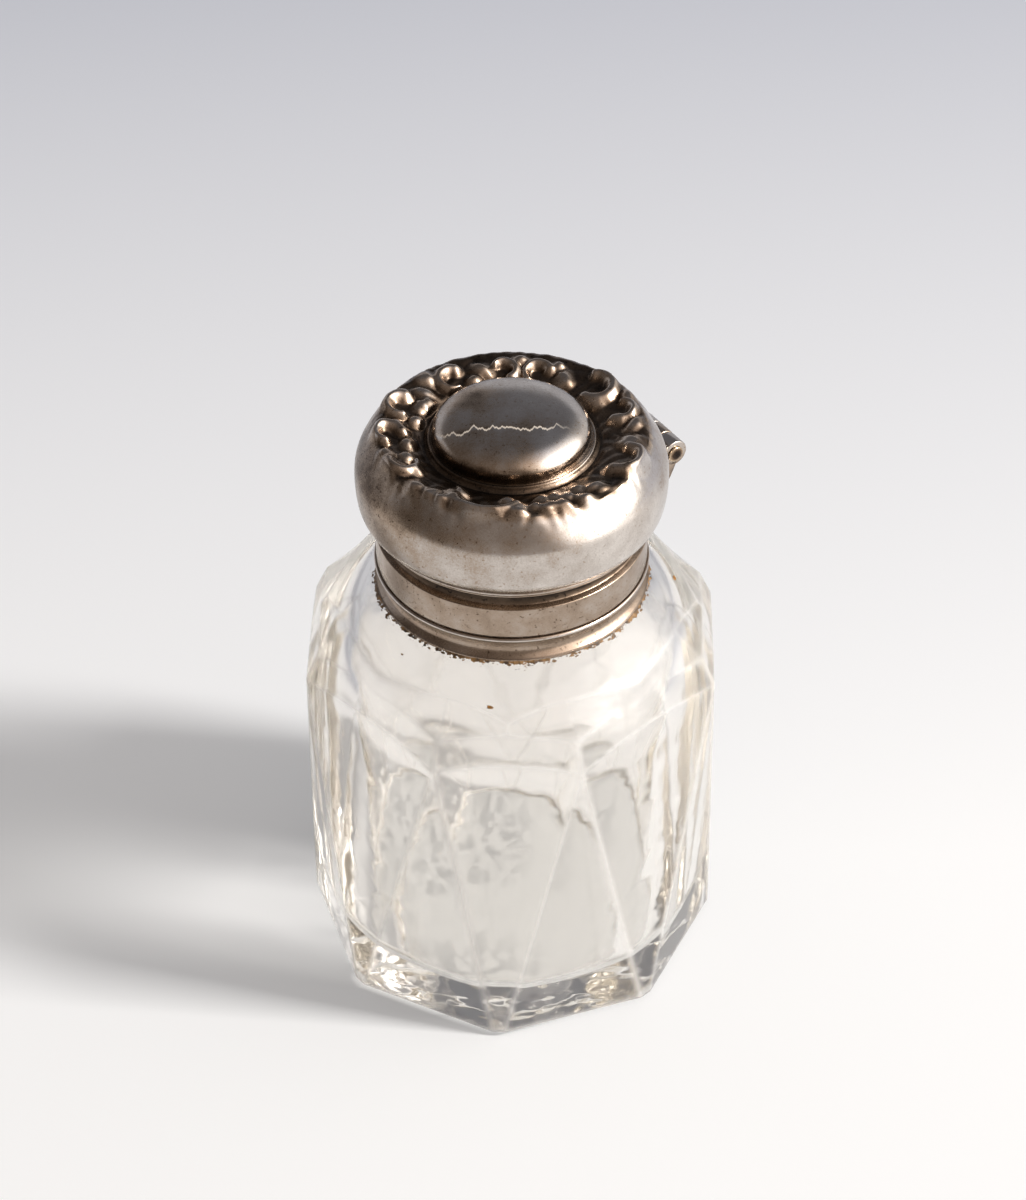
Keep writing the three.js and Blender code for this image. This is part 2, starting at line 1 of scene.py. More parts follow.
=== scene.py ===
"""Looks of a small cut-glass scent bottle with a silver collar and a hinged, stamped silver lid.

Sizes are in millimetres and turn into metres where a mesh is made. The origin is the centre of the base, +Z runs
up the neck and -Y faces the viewer. Azimuths are degrees from the front towards +X.
"""

import logging
from dataclasses import dataclass
from enum import Enum
from functools import partial
from typing import Any, Callable, Sequence

import bpy
import numpy as np
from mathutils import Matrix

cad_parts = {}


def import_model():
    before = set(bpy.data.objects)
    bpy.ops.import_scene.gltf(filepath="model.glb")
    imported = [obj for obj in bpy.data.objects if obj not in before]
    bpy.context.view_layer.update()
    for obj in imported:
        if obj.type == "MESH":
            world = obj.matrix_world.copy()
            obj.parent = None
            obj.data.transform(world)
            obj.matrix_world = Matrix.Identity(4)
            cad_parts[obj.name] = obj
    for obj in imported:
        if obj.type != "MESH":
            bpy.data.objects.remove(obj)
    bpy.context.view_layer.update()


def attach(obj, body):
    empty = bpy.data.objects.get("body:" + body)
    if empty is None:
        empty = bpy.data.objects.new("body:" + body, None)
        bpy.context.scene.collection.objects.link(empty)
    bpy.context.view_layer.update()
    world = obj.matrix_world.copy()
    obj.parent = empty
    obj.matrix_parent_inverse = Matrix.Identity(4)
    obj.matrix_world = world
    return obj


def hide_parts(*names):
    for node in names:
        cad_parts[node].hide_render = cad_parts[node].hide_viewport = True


LOG = logging.getLogger("scent_bottle")
MM = 0.001

Add = Callable[..., Any]
Array = np.ndarray
Profile = list[tuple[float, float]]
Corners = Sequence[tuple[float, ...]]


class Body(Enum):
    """The three rigid bodies that the pieces ride on."""

    BOTTLE = "bottle"
    LID = "lid"
    STOPPER = "stopper"


class Slot(Enum):
    """Material slots of the record."""

    CUT_GLASS = "cut_glass"
    STOPPER_GLASS = "stopper_glass"
    PLASTER = "plaster"
    AGED_SILVER = "aged_silver"
    PIN = "hinge_pin_metal"
    GILT = "gilt_silver"


# Geometry


def around(radius: Array | float, azimuth: Array | float, z: Array | float) -> Array:
    """Points at a radius and an azimuth: x = r sin(azimuth), y = -r cos(azimuth), z.

    Args:
        radius: distance from the bottle's axis, mm.
        azimuth: degrees from the front (-Y) towards +X.
        z: height, mm.

    Returns:
        The points, last axis 3.
    """
    turn = np.radians(azimuth)
    parts = np.broadcast_arrays(radius * np.sin(turn), -radius * np.cos(turn), z)
    return np.stack(parts, axis=-1).astype(float)


def hill(value: Array, middle: float, reach: float) -> Array:
    """Bell curve exp(-(value - middle)^2 / reach^2)."""
    return np.exp(-(((value - middle) / reach) ** 2))


def ramp(value: Array, start: float, end: float) -> Array:
    """Share that goes linearly from 0 at `start` to 1 at `end`, and stays at them beyond."""
    return np.clip((value - start) / (end - start), 0, 1)


def swell(share: Array) -> Array:
    """Smooth hill, flattened on top: (0.5 + 0.5 cos(pi share)) to the power 0.7, and 0 from a share of 1 on."""
    return (0.5 + 0.5 * np.cos(np.pi * np.clip(share, 0, 1))) ** 0.7


def bow(start: Any, pull: Any, end: Any, steps: int) -> Array:
    """Quadratic curve (1 - t)^2 start + 2 t (1 - t) pull + t^2 end.

    Args:
        start: its first point.
        pull: the point that it bends towards.
        end: its last point.
        steps: number of segments.

    Returns:
        Its points.
    """
    t = np.linspace(0, 1, steps + 1)[:, None]
    return (1 - t) ** 2 * np.array(start) + 2 * t * (1 - t) * np.array(pull) + t**2 * np.array(end)


def rounded(corners: Corners, steps: int = 6) -> Profile:
    """Profile whose corners are rounded.

    At a corner with fillet f the path leaves the first leg f / tan(half the corner's angle) before the corner and
    joins the second leg as far behind it, on a quadratic curve that stays within 3% of the arc of radius f.

    Args:
        corners: (radius, z) or (radius, z, fillet) in mm.
        steps: segments of each arc.

    Returns:
        The (radius, z) points.
    """
    points = np.array([corner[:2] for corner in corners], float)
    path: list[Array] = [points[0]]
    for i in range(1, len(corners) - 1):
        fillet = corners[i][2] if len(corners[i]) > 2 else 0.0
        if fillet <= 0:
            path.append(points[i])
            continue
        before = (points[i - 1] - points[i]) / np.linalg.norm(points[i - 1] - points[i])
        after = (points[i + 1] - points[i]) / np.linalg.norm(points[i + 1] - points[i])
        reach = fillet / np.tan(0.5 * np.arccos(np.clip(before @ after, -1, 1)))
        path.extend(bow(points[i] + reach * before, points[i], points[i] + reach * after, steps))
    path.append(points[-1])
    return [(float(r), float(z)) for r, z in path]


def spline(points: Corners, steps: int) -> Profile:
    """Smooth curve through points, each stretch a Catmull-Rom cubic of its two ends and their neighbours.

    Args:
        points: (radius, z) in mm.
        steps: segments of each stretch.

    Returns:
        The (radius, z) points.
    """
    p = np.array([points[0], *points, points[-1]], float)
    t = np.linspace(0, 1, steps, endpoint=False)[:, None]
    path = []
    for a, b, c, d in zip(p, p[1:], p[2:], p[3:]):
        square, cube = 2 * a - 5 * b + 4 * c - d, 3 * b - a - 3 * c + d
        path.append(0.5 * (2 * b + (c - a) * t + square * t**2 + cube * t**3))
    return [(float(r), float(z)) for r, z in np.concatenate([*path, p[-1:]])]


def link_object(name: str, data: bpy.types.ID) -> bpy.types.Object:
    """Puts an object with the data into the scene, at the origin."""
    linked = bpy.data.objects.new(name, data)
    bpy.context.scene.collection.objects.link(linked)
    return linked


def link_mesh(name: str, points: Array, faces: list[list[int]], smooth_angle: float) -> bpy.types.Object:
    """Object from points and faces of any number of corners. Points in one place become one.

    Args:
        name: name of the piece.
        points: corners in mm, shape (n, 3).
        faces: point numbers of each face, anticlockwise seen from outside.
        smooth_angle: edges sharper than this many degrees stay sharp.

    Returns:
        The linked object, which sits at the origin.
    """
    keys = np.round(points * 1e5).astype(np.int64)
    _, first, inverse = np.unique(keys, axis=0, return_index=True, return_inverse=True)
    number = inverse.reshape(-1).tolist()
    rows = [tuple(dict.fromkeys(number[i] for i in face)) for face in faces]
    mesh = bpy.data.meshes.new(name)
    mesh.from_pydata((points[first] * MM).tolist(), [], [row for row in rows if len(row) > 2])
    mesh.validate()
    mesh.shade_smooth()
    mesh.set_sharp_from_angle(angle=np.radians(smooth_angle))
    return link_object(name, mesh)


def make_mesh(name: str, points: Array, faces: Array, smooth_angle: float = 35.0) -> bpy.types.Object:
    """Object from points and faces. Where its volume comes out negative, the faces are turned to point out.

    Args:
        name: name of the piece.
        points: corners in mm, last axis 3.
        faces: point numbers, shape (m, 3) or (m, 4).
        smooth_angle: edges sharper than this many degrees stay sharp.

    Returns:
        The linked object.
    """
    points = points.reshape(-1, 3)
    a, b, c, d = (points[faces[:, i]] for i in (0, 1, 2, -1))
    # In a triangle the last corner is c, and the second product is nothing
    volume = np.einsum("ij,ij->", a, np.cross(b, c)) + np.einsum("ij,ij->", a, np.cross(c, d))
    return link_mesh(name, points, (faces[:, ::-1] if volume < 0 else faces).tolist(), smooth_angle)


def grid_faces(rows: int, columns: int) -> Array:
    """Quads of a grid of points numbered row by row, whose last column meets the first.

    Args:
        rows: number of rows.
        columns: number of columns.

    Returns:
        Point numbers, shape (m, 4).
    """
    i, j = np.meshgrid(np.arange(rows - 1), np.arange(columns), indexing="ij")
    k = (j + 1) % columns
    corners = [i * columns + j, i * columns + k, (i + 1) * columns + k, (i + 1) * columns + j]
    return np.stack(corners, axis=-1).reshape(-1, 4)


def turned(name: str, profile: Profile, columns: int = 192) -> bpy.types.Object:
    """Piece turned about the bottle's axis.

    Args:
        name: name of the piece.
        profile: (radius, z) points that start and end on the axis, or close on themselves.
        columns: facets round the axis.

    Returns:
        The object.
    """
    radius, z = np.array(profile, float).T
    points = around(radius[:, None], np.arange(columns) * 360 / columns, z[:, None])
    return make_mesh(name, points, grid_faces(len(profile), columns))


def wire_ring(name: str, ring: float, z: float, wire: float) -> bpy.types.Object:
    """Round wire bent to a ring.

    Args:
        name: name of the piece.
        ring: radius of the ring's centre line, mm.
        z: height of the centre line, mm.
        wire: radius of the wire, mm.

    Returns:
        The object.
    """
    turn = np.linspace(0, 2 * np.pi, 17)
    return turned(name, list(zip(ring + wire * np.cos(turn), z + wire * np.sin(turn))))


def seat(
    piece: bpy.types.Object, body: Body, slot: Slot, material: bpy.types.Material, *nodes: str, **shares: Any
) -> None:
    """Dresses a piece, puts it on its body and reports it.

    Args:
        piece: the piece.
        body: the body that it moves with.
        slot: the record's slot that its finish belongs to; not used.
        material: its material.
        nodes: the CAD nodes that it stands for.
        shares: attributes for the material, from 0 to 1 at each point: a number, or a function of the points'
            distances from the axis, azimuths and heights, in mm and degrees.
    """
    mesh = piece.data
    flat = np.empty(len(mesh.vertices) * 3, np.float32)
    mesh.vertices.foreach_get("co", flat)
    x, y, z = flat.reshape(-1, 3).astype(float).T / MM
    for name, share in shares.items():
        value = share(np.hypot(x, y), np.degrees(np.arctan2(x, -y)), z) if callable(share) else share
        layer = mesh.attributes.new(name, "FLOAT", "POINT")
        layer.data.foreach_set("value", np.clip(np.broadcast_to(value, x.shape), 0, 1).astype(np.float32))
    mesh.materials.clear()
    mesh.materials.append(material)
    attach(piece, body.value)
    if nodes:
        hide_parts(*nodes)
    LOG.info("%s rides on %s, %d faces", piece.name, body.value, len(mesh.polygons))


# Finishes


def linear(hex_colour: str) -> tuple[float, float, float, float]:
    """Turns an sRGB hex colour into linear light.

    Each channel c becomes c / 12.92 up to 0.04045, and ((c + 0.055) / 1.055) to the power 2.4 above it.

    Args:
        hex_colour: colour such as "#D8D0C4".

    Returns:
        Linear red, green and blue, and alpha 1.
    """
    channels = [int(hex_colour[i : i + 2], 16) / 255 for i in (1, 3, 5)]
    red, green, blue = (c / 12.92 if c <= 0.04045 else ((c + 0.055) / 1.055) ** 2.4 for c in channels)
    return red, green, blue, 1.0


def add_node(tree: bpy.types.NodeTree, kind: str, *inputs: Any, **settings: Any) -> Any:
    """Adds a node with its settings and links.

    Args:
        tree: tree that gets the node.
        kind: node type without its "ShaderNode".
        inputs: what its first sockets get in turn, or one dict of sockets by name or number. Each is a value, a
            socket, or a node, which feeds it from its first output.
        settings: properties of the node.

    Returns:
        The node.
    """
    node = tree.nodes.new("ShaderNode" + kind)
    for name, value in settings.items():
        setattr(node, name, value)
    given = inputs[0] if inputs and isinstance(inputs[0], dict) else dict(enumerate(inputs))
    for key, value in given.items():
        if isinstance(value, bpy.types.Node):
            value = value.outputs[0]
        if isinstance(value, bpy.types.NodeSocket):
            tree.links.new(value, node.inputs[key])
        else:
            node.inputs[key].default_value = value
    return node


@dataclass(frozen=True)
class Finish:
    """What a piece is made of and how its surface was made."""

    name: str

    def surface(self, add: Add, place: Any) -> tuple[Any, Any]:
        """Adds the finish's own nodes.

        Args:
            add: adds a node to the material's tree.
            place: socket of the object coordinates.

        Returns:
            The node of the surface, and that of the filling or None.
        """
        raise NotImplementedError

    def material(self) -> bpy.types.Material:
        """Builds the node material."""
        material = bpy.data.materials.new(self.name)
        material.use_nodes = True
        material.node_tree.nodes.clear()
        add = partial(add_node, material.node_tree)
        surface, filling = self.surface(add, add("TexCoord").outputs["Object"])
        add("OutputMaterial", {"Surface": surface} | ({"Volume": filling} if filling else {}))
        return material


@dataclass(frozen=True)
class CutCrystal(Finish):
    """Lead crystal, mould-blown, then cut and polished on a wheel.

    It is clear with a straw tint where it is thick, bends light strongly, and keeps faint polishing waves. The cut
    edges are worn round and a little frosted. Lamps reach through it to the paper, best through the plain inside
    and cone; the facets away from the window throw all but one streak of light aside.
    """

    name: str = "lead_crystal_cut_and_polished"
    colour: str = "#FFFDFA"
    tint: str = "#E8DEC8"
    absorption: float = 8.0  # per metre
    ior: float = 1.53
    roughness: float = 0.01
    wave: float = 3.2  # mm between polishing waves
    wave_height: float = 0.006  # mm
    blown: float = 22.0  # how much stronger the waves of the blown inside are
    edge: float = 1.1  # mm that wear has rounded off the cut edges
    worn: tuple[float, float] = (0.9985, 0.988)  # cosine of the edge's turn where wear starts, and is full
    frost: float = 0.36  # share of light that the worn edges scatter
    frost_roughness: float = 0.3
    bent: float = 5.0  # mm between the streaks of light on the paper
    bent_clear: tuple[float, ...] = (0.37, 0.48, 0.58, 1.0)  # noise from, to; share let through from, to
    near_side: float = 1.0  # share of lamp light that the facets on the window's side let in
    turn: float = 6.0  # mm either side of x = 0 over which the window's side changes to the other
    streak: tuple[float, float, float] = (-3.0, 2.0, 9.5)  # mm: y of the streak; where it starts and stops fading
    streak_clear: tuple[float, float] = (0.95, 0.04)  # share let out in the streak, and beside it

    def lamp_share(self, add: Add, place: Any) -> Any:
        """Share of a lamp's light that a surface lets through.

        The attribute "plain" is that share on the cavity's wall, the cone, the sole and the stopper, where noise
        makes soft streaks in it. Facets, where it is 0, let `near_side` in at +X, and at -X a streak out that
        fades linearly with the distance in y.

        Args:
            add: adds a node to the material's tree.
            place: socket of the object coordinates.

        Returns:
            The share's node.
        """
        axes = add("SeparateXYZ", place).outputs
        middle, full, gone = self.streak
        off = add("Math", add("Math", axes["Y"], middle * MM, operation="SUBTRACT"), operation="ABSOLUTE")
        away = add("MapRange", off, full * MM, gone * MM, *self.streak_clear)
        window_side = add("MapRange", axes["X"], -self.turn * MM, self.turn * MM)
        facets = add("Mix", {0: window_side, 2: away, 3: self.near_side})
        plain = add("Attribute", attribute_name="plain").outputs["Fac"]
        # The uneven blown inside bends lamp light into soft streaks on the paper
        bent = {"Vector": place, "Scale": 1 / (self.bent * MM), "Detail": 1.0, "Distortion": 1.8}
        streaks = add("MapRange", add("TexNoise", bent), *self.bent_clear)
        return add("Math", facets, add("Math", plain, streaks, operation="MULTIPLY"), operation="MAXIMUM")

    def surface(self, add: Add, place: Any) -> tuple[Any, Any]:
        """Adds the glass and its tinted filling.

        Args:
            add: adds a node to the material's tree.
            place: socket of the object coordinates.

        Returns:
            The node of the glass, and that of the filling.
        """
        waves = add("TexNoise", {"Vector": place, "Scale": 1 / (self.wave * MM), "Detail": 1.0})
        inside = add("Attribute", attribute_name="inside").outputs["Fac"]
        strength = add("Math", inside, self.blown, 1.0, operation="MULTIPLY_ADD")
        height = add("Math", waves, strength, operation="MULTIPLY")
        # Worn edges draw a bright and a dark line along each cut
        edges = add("Bevel", self.edge * MM, samples=6)
        flat = add("NewGeometry").outputs["Normal"]
        turn = add("VectorMath", edges, flat, operation="DOT_PRODUCT").outputs["Value"]
        worn = add("MapRange", turn, *self.worn, 0.0, self.frost)
        glass = {
            "Base Color": linear(self.colour),
            "Roughness": add("Math", worn, self.frost_roughness, self.roughness, operation="MULTIPLY_ADD"),
            "IOR": self.ior,
            "Transmission Weight": add("Math", 1.0, worn, operation="SUBTRACT"),
            "Normal": add("Bump", {"Height": height, "Distance": self.wave_height * MM, "Normal": edges}),
        }
        lamps = add("LightPath").outputs["Is Shadow Ray"]
        clear = add("Math", lamps, self.lamp_share(add, place), operation="MULTIPLY")
        surface = add("MixShader", clear, add("BsdfPrincipled", glass), add("BsdfTransparent"))
        return surface, add("VolumeAbsorption", linear(self.tint), self.absorption)


@dataclass(frozen=True)
class AgedSilver(Finish):
    """Sterling silver, worked, then rubbed and tarnished over a century.

    Tarnish is a film that turns the metal grey, straw, brown and at last nearly black as it thickens. High places
    are rubbed clean, and hollows keep the thick film. The attribute "hollow" is the film's share
    of its full thickness, with painted shade and painted highlights laid into it on the lid and the pin, and fine
    scratches and specks break it up.
    """

    clean: str = "#DCD5CE"
    reflection_line_colour: str = "#F6E9D8"  # of the painted reflection line
    grey: str = "#BEB5AD"
    straw: str = "#A39180"
    brown: str = "#655547"
    black: str = "#2A2420"
    stops: tuple[float, float, float] = (0.28, 0.50, 0.72)  # thickness at which the film is grey, straw, brown
    unevenness: float = 0.34  # of the film, from patch to patch
    roughness_clean: float = 0.15
    roughness_film: float = 0.34
    patch: float = 2.2  # mm across a patch of film
    scratch: float = 0.14  # mm between scratches, drawn about twice as coarse as real ones
    scratch_height: float = 0.0022  # mm
    scratch_film: float = 0.35  # how much scratches change the film
    scratch_roughness: float = 0.18  # and the roughness
    round_axis: float = 1.0  # how much longer scratches run round the axis than along it
    speck: float = 0.3  # mm across a dark speck
    speck_film: float = 0.22  # film that a speck adds
    painted_reflection_line: bool = False  # painted reflection: a pale wavy line across the dome

    def film(self, add: Add, place: Any, scratches: Any) -> Any:
        """Thickness of the tarnish from 0 to 1: the attribute, plus noise in patches, scratches and specks.

        Args:
            add: adds a node to the material's tree.
            place: socket of the object coordinates.
            scratches: node of the scratch pattern, about 0.

        Returns:
            The share's node.
        """
        hollow = add("Attribute", attribute_name="hollow").outputs["Fac"]
        patch = {"Vector": place, "Scale": 1 / (self.patch * MM), "Detail": 7.0, "Roughness": 0.6}
        patches = add("Math", add("TexNoise", patch), 0.5, operation="SUBTRACT")
        specks = add("TexNoise", {"Vector": place, "Scale": 1 / (self.speck * MM), "Detail": 2.0})
        uneven = add("Math", patches, 2 * self.unevenness, operation="MULTIPLY")
        fine = add("Math", scratches, self.scratch_film, operation="MULTIPLY")
        film = add("Math", hollow, add("Math", uneven, fine, operation="ADD"), operation="ADD")
        spot = add("MapRange", specks, 0.63, 0.72)
        return add("Math", spot, self.speck_film, film, operation="MULTIPLY_ADD", use_clamp=True)

    def painted_reflection(self, add: Add, place: Any, film: Any) -> tuple[Any, Any]:
        """Painted reflection: a pale wavy line across the front of the dome where the edge of a reflection falls.

        The line lies at y = 5.4 mm times a noise of x, less 5 mm, which wanders round -2.3 mm. It is pale to
        0.03 mm either side and gone at 0.17 mm. The film is thicker above it, fading out over 3 mm, and thinner
        below it, fading out over 1.6 mm: painted shade above the line, painted light below it.

        Args:
            add: adds a node to the material's tree.
            place: socket of the object coordinates.
            film: node of the film's thickness.

        Returns:
            Nodes of the pale line's share and of the changed film.
        """
        axes = add("SeparateXYZ", place).outputs
        along = add("CombineXYZ", axes["X"])
        wander = {"Vector": along, "Scale": 1 / (2.6 * MM), "Detail": 4.0, "Roughness": 0.58}
        middle = add("Math", add("TexNoise", wander), 5.4 * MM, -5.0 * MM, operation="MULTIPLY_ADD")
        above = add("Math", axes["Y"], middle, operation="SUBTRACT")
        on_dome = add("MapRange", axes["Z"], 54.2 * MM, 54.6 * MM)
        fades = add("MapRange", axes["X"], 2.6 * MM, 5.0 * MM, 1.0, 0.0)
        share = add("Math", on_dome, fades, operation="MULTIPLY")
        line = add("MapRange", add("Math", above, operation="ABSOLUTE"), 0.03 * MM, 0.17 * MM, 0.85, 0.0)
        sides = [
            add("Math", add("MapRange", above, *fade), add("MapRange", above, *start), operation="MULTIPLY")
            for fade, start in (
                ((0.1 * MM, 3.0 * MM, 0.16, 0.0), (0.0, 0.1 * MM)),
                ((-1.6 * MM, 0.0, 0.0, 0.10), (0.05 * MM, 0.0)),
            )
        ]
        change = add("Math", add("Math", *sides, operation="SUBTRACT"), share, operation="MULTIPLY")
        pale = add("Math", line, share, operation="MULTIPLY")
        return pale, add("Math", film, change, operation="ADD", use_clamp=True)

    def surface(self, add: Add, place: Any) -> tuple[Any, Any]:
        """Adds the metal under its film.

        Args:
            add: adds a node to the material's tree.
            place: socket of the object coordinates.

        Returns:
            The node of the surface, and None.
        """
        stretch = add("Mapping", {"Vector": place, "Scale": (1.0, 1.0, self.round_axis)})
        scratches = add("TexNoise", {"Vector": stretch, "Scale": 1 / (self.scratch * MM), "Detail": 4.0})
        centred = add("Math", scratches, 0.5, operation="SUBTRACT")
        film, metallic = self.film(add, place, centred), 1.0
        # Painted reflection: a pale line that is not metallic, with painted shade above it
        if self.painted_reflection_line:
            pale, film = self.painted_reflection(add, place, film)
            metallic = add("Math", 1.0, pale, operation="SUBTRACT")
        ramp = add("ValToRGB", film)
        elements = ramp.color_ramp.elements
        for position, shade in zip(self.stops, (self.grey, self.straw, self.brown)):
            elements.new(position).color = linear(shade)
        elements[0].color, elements[-1].color = linear(self.clean), linear(self.black)
        colour = ramp.outputs[0]
        if self.painted_reflection_line:
            colour = add("Mix", {0: pale, 6: colour, 7: linear(self.reflection_line_colour)}, data_type="RGBA").outputs[2]
        roughness = add("MapRange", film, 0.0, 1.0, self.roughness_clean, self.roughness_film)
        grain = add("Math", centred, self.scratch_roughness, operation="MULTIPLY")
        metal = {
            "Base Color": colour,
            "Metallic": metallic,
            "Roughness": add("Math", roughness, grain, operation="ADD", use_clamp=True),
            "Normal": add("Bump", {"Height": scratches, "Distance": self.scratch_height * MM}),
        }
        return add("BsdfPrincipled", metal), None


@dataclass(frozen=True)
class GrainySkin(Finish):
    """Plaster, or scent dried to a resin: a dull skin whose fine grains differ in colour and stand up a little."""

    first: str
    second: str
    grain: float  # mm
    spread: tuple[float, float]  # noise at which the skin has the first colour, and the second
    roughness: float
    rise: float  # mm

    def surface(self, add: Add, place: Any) -> tuple[Any, Any]:
        """Adds the skin.

        Args:
            add: adds a node to the material's tree.
            place: socket of the object coordinates.

        Returns:
            The node of the surface, and None.
        """
        grains = add("TexNoise", {"Vector": place, "Scale": 1 / (self.grain * MM), "Detail": 4.0})
        share = add("MapRange", grains, *self.spread)
        mix = {0: share, 6: linear(self.first), 7: linear(self.second)}
        skin = {
            "Base Color": add("Mix", mix, data_type="RGBA").outputs[2],
            "Roughness": self.roughness,
            "Normal": add("Bump", {"Height": grains, "Distance": self.rise * MM}),
        }
        return add("BsdfPrincipled", skin), None


@dataclass(frozen=True)
class Paper(Finish):
    """Plain paper whose colour falls along +Y from white to a cool grey, linearly in distance: painted shade.

    Three quarters of it take light and shadow. Seen by the camera, in metal or through glass, the rest glows.
    """

    near: str = "#FFFFFF"
    far: str = "#C3C6D0"
    fall: tuple[float, float] = (5.0, 190.0)  # mm
    glow: float = 0.25

    def surface(self, add: Add, place: Any) -> tuple[Any, Any]:
        """Adds the paper.

        Args:
            add: adds a node to the material's tree.
            place: socket of the object coordinates.

        Returns:
            The node of the surface, and None.
        """
        start, end = self.fall
        # Painted shade: greyer away from the viewer along +Y
        share = add("MapRange", add("SeparateXYZ", place).outputs["Y"], start * MM, end * MM)
        mix = {0: share, 6: linear(self.near), 7: linear(self.far)}
        tone = add("Mix", mix, data_type="RGBA").outputs[2]
        paths = add("LightPath").outputs
        seen = add("Math", paths["Is Camera Ray"], paths["Is Glossy Ray"], operation="MAXIMUM")
        seen = add("Math", paths["Is Transmission Ray"], seen, operation="ADD", use_clamp=True)
        glow = add("Math", seen, self.glow, operation="MULTIPLY")
        return add("MixShader", glow, add("BsdfDiffuse", tone), add("Emission", tone, 1.0)), None


# The glass


@dataclass
class GlassBody:
    """The hand-cut body: eight triangles down, eight up, a cut shoulder, a plain cone, neck, bore and cavity."""

    girdle_z: float = 31.5
    apothem: float = 17.5
    half_narrow: float = 6.2  # half the length of the girdle's narrow sides
    girdle_turn: float = -1.2  # degrees
    base_radius: float = 18.55
    base_turn: float = -3.7  # degrees
    chamfer: float = 0.5
    blunt: float = 0.6  # ground off the foot's corners
    arch_rise: float = 0.7
    crest_rise: float = 2.1
    crest_radii: tuple[float, float] = (17.0, 16.25)  # narrow side, wide side
    corner: tuple[float, float] = (17.4, 34.1)  # radius and height above a girdle corner
    peak_z: float = 34.9
    peak_radii: tuple[float, float] = (16.5, 15.8)
    scallop_corner: float = 14.8
    scallop_radii: tuple[float, float] = (16.0, 15.3)
    cone_top: tuple[float, float] = (12.0, 38.4)
    cone_slope: float = 34.5  # degrees
    neck: tuple[float, float] = (9.6, 45.6)  # radius and top
    bore: tuple[float, float, float] = (4.15, 3.95, 36.2)  # mouth radius, end radius, end height
    roof: Corners = ((5.35, 35.75), (9.4, 33.5), (12.2, 31.4), (13.3, 28.6), (13.4, 25.0))
    floor: Corners = ((13.4, 25.0), (13.4, 2.8, 2.2), (2.0, 2.6))
    side_steps: int = 24

    def foot_ring(self, radius: float, z: float) -> Array:
        """The foot's octagon, with two points in place of each corner, `blunt` away from it along its two edges.

        Args:
            radius: corner radius of the full octagon, mm.
            z: height, mm.

        Returns:
            Sixteen points.
        """
        corner = around(radius, 45 * np.arange(8) + self.base_turn, z)
        back, ahead = np.roll(corner, 1, axis=0) - corner, np.roll(corner, -1, axis=0) - corner
        step = self.blunt / np.linalg.norm(ahead, axis=1, keepdims=True)
        return np.stack([corner + step * back, corner + step * ahead], axis=1).reshape(-1, 3)

    def cone_z(self, radius: Array | float) -> Array | float:
        """Height of the plain cone at a radius."""
        return self.cone_top[1] - (radius - self.cone_top[0]) * np.tan(np.radians(self.cone_slope))

    def columns(self) -> tuple[Array, Array, Array, Array]:
        """Columns of the shoulder.

        Returns:
            Azimuths, half angles of their sides, places along these from 0 to 1, and the sides' numbers.
        """
        narrow_half = np.degrees(np.arctan2(self.half_narrow, self.apothem))
        side = np.repeat(np.arange(8), self.side_steps)
        along = np.tile(np.arange(self.side_steps) / self.side_steps, 8)
        half = np.where(side % 2 == 0, narrow_half, 45 - narrow_half)
        return 45 * side + self.girdle_turn + half * (2 * along - 1), half, along, side

    def shoulder(self) -> Array:
        """Rings of the cut shoulder.

        Over each side the arch is the girdle's chord plus a parabolic bow in the facet's own plane, the crest is
        the chord bowed to a point above and within it, the edge runs straight from corner to peak to corner, and
        the scallop is a parabola on the plain cone.

        Returns:
            Four rings of points, from the girdle up.
        """
        azimuth, half, along, side = self.columns()
        middle, narrow = 45 * side + self.girdle_turn, side % 2 == 0
        corner_radius = np.hypot(self.apothem, self.half_narrow)
        start = around(corner_radius, middle - half, self.girdle_z)
        end = around(corner_radius, middle + half, self.girdle_z)
        t = along[:, None]
        rise = 4 * t * (1 - t)
        chord = start + (end - start) * t
        foot = self.foot_ring(self.base_radius, self.chamfer).reshape(8, 2, 3).mean(axis=1)[side]
        up = 0.5 * (start + end) - foot
        arch = chord + self.arch_rise * rise * up / np.linalg.norm(up, axis=1, keepdims=True)
        crest_point = around(np.where(narrow, *self.crest_radii), middle, self.girdle_z + self.crest_rise)
        crest = chord + rise * (crest_point - 0.5 * (start + end))
        first = around(self.corner[0], middle - half, self.corner[1])
        last = around(self.corner[0], middle + half, self.corner[1])
        peak = around(np.where(narrow, *self.peak_radii), middle, self.peak_z)
        edge = np.where(t <= 0.5, first + (peak - first) * 2 * t, peak + (last - peak) * (2 * t - 1))
        inward = 1 - np.abs(1 - 2 * along)
        radius = self.scallop_corner + (np.where(narrow, *self.scallop_radii) - self.scallop_corner) * inward**2
        return np.stack([arch, crest, edge, around(radius, azimuth, self.cone_z(radius))])

    def tube(self) -> Array:
        """Rings from the cone's top over the neck's lip, down the bore and the cavity to its floor.

        Mould-blown glass is uneven inside. The cavity's radius is multiplied by 1 + 0.004 sin(2 a + 0.6), and low
        down by up to 0.006 sin(5 a + 1.9 + 0.14 z) more, which winds in a spiral.

        Returns:
            The rings of points.
        """
        neck, top = self.neck
        mouth, end, end_z = self.bore
        lip = [(neck, float(self.cone_z(neck)) + 0.25, 0.7), (neck, top, 0.5), (mouth, top, 0.3)]
        outside = rounded([self.cone_top, *lip, (end, end_z)])
        inside = spline([(end, end_z), *self.roof], 6)
        radius, z = np.array([*outside, *inside[1:], *rounded(self.floor, 10)[1:]]).T[..., None]
        azimuth = self.columns()[0]
        turn = np.radians(azimuth)
        wave = 0.004 * np.sin(2 * turn + 0.6) + ramp(z, 30, 5) * 0.006 * np.sin(5 * turn + 1.9 + 0.14 * z)
        return around(radius * (1 + np.where((z < end_z) & (radius > mouth), wave, 0.0)), azimuth, z)

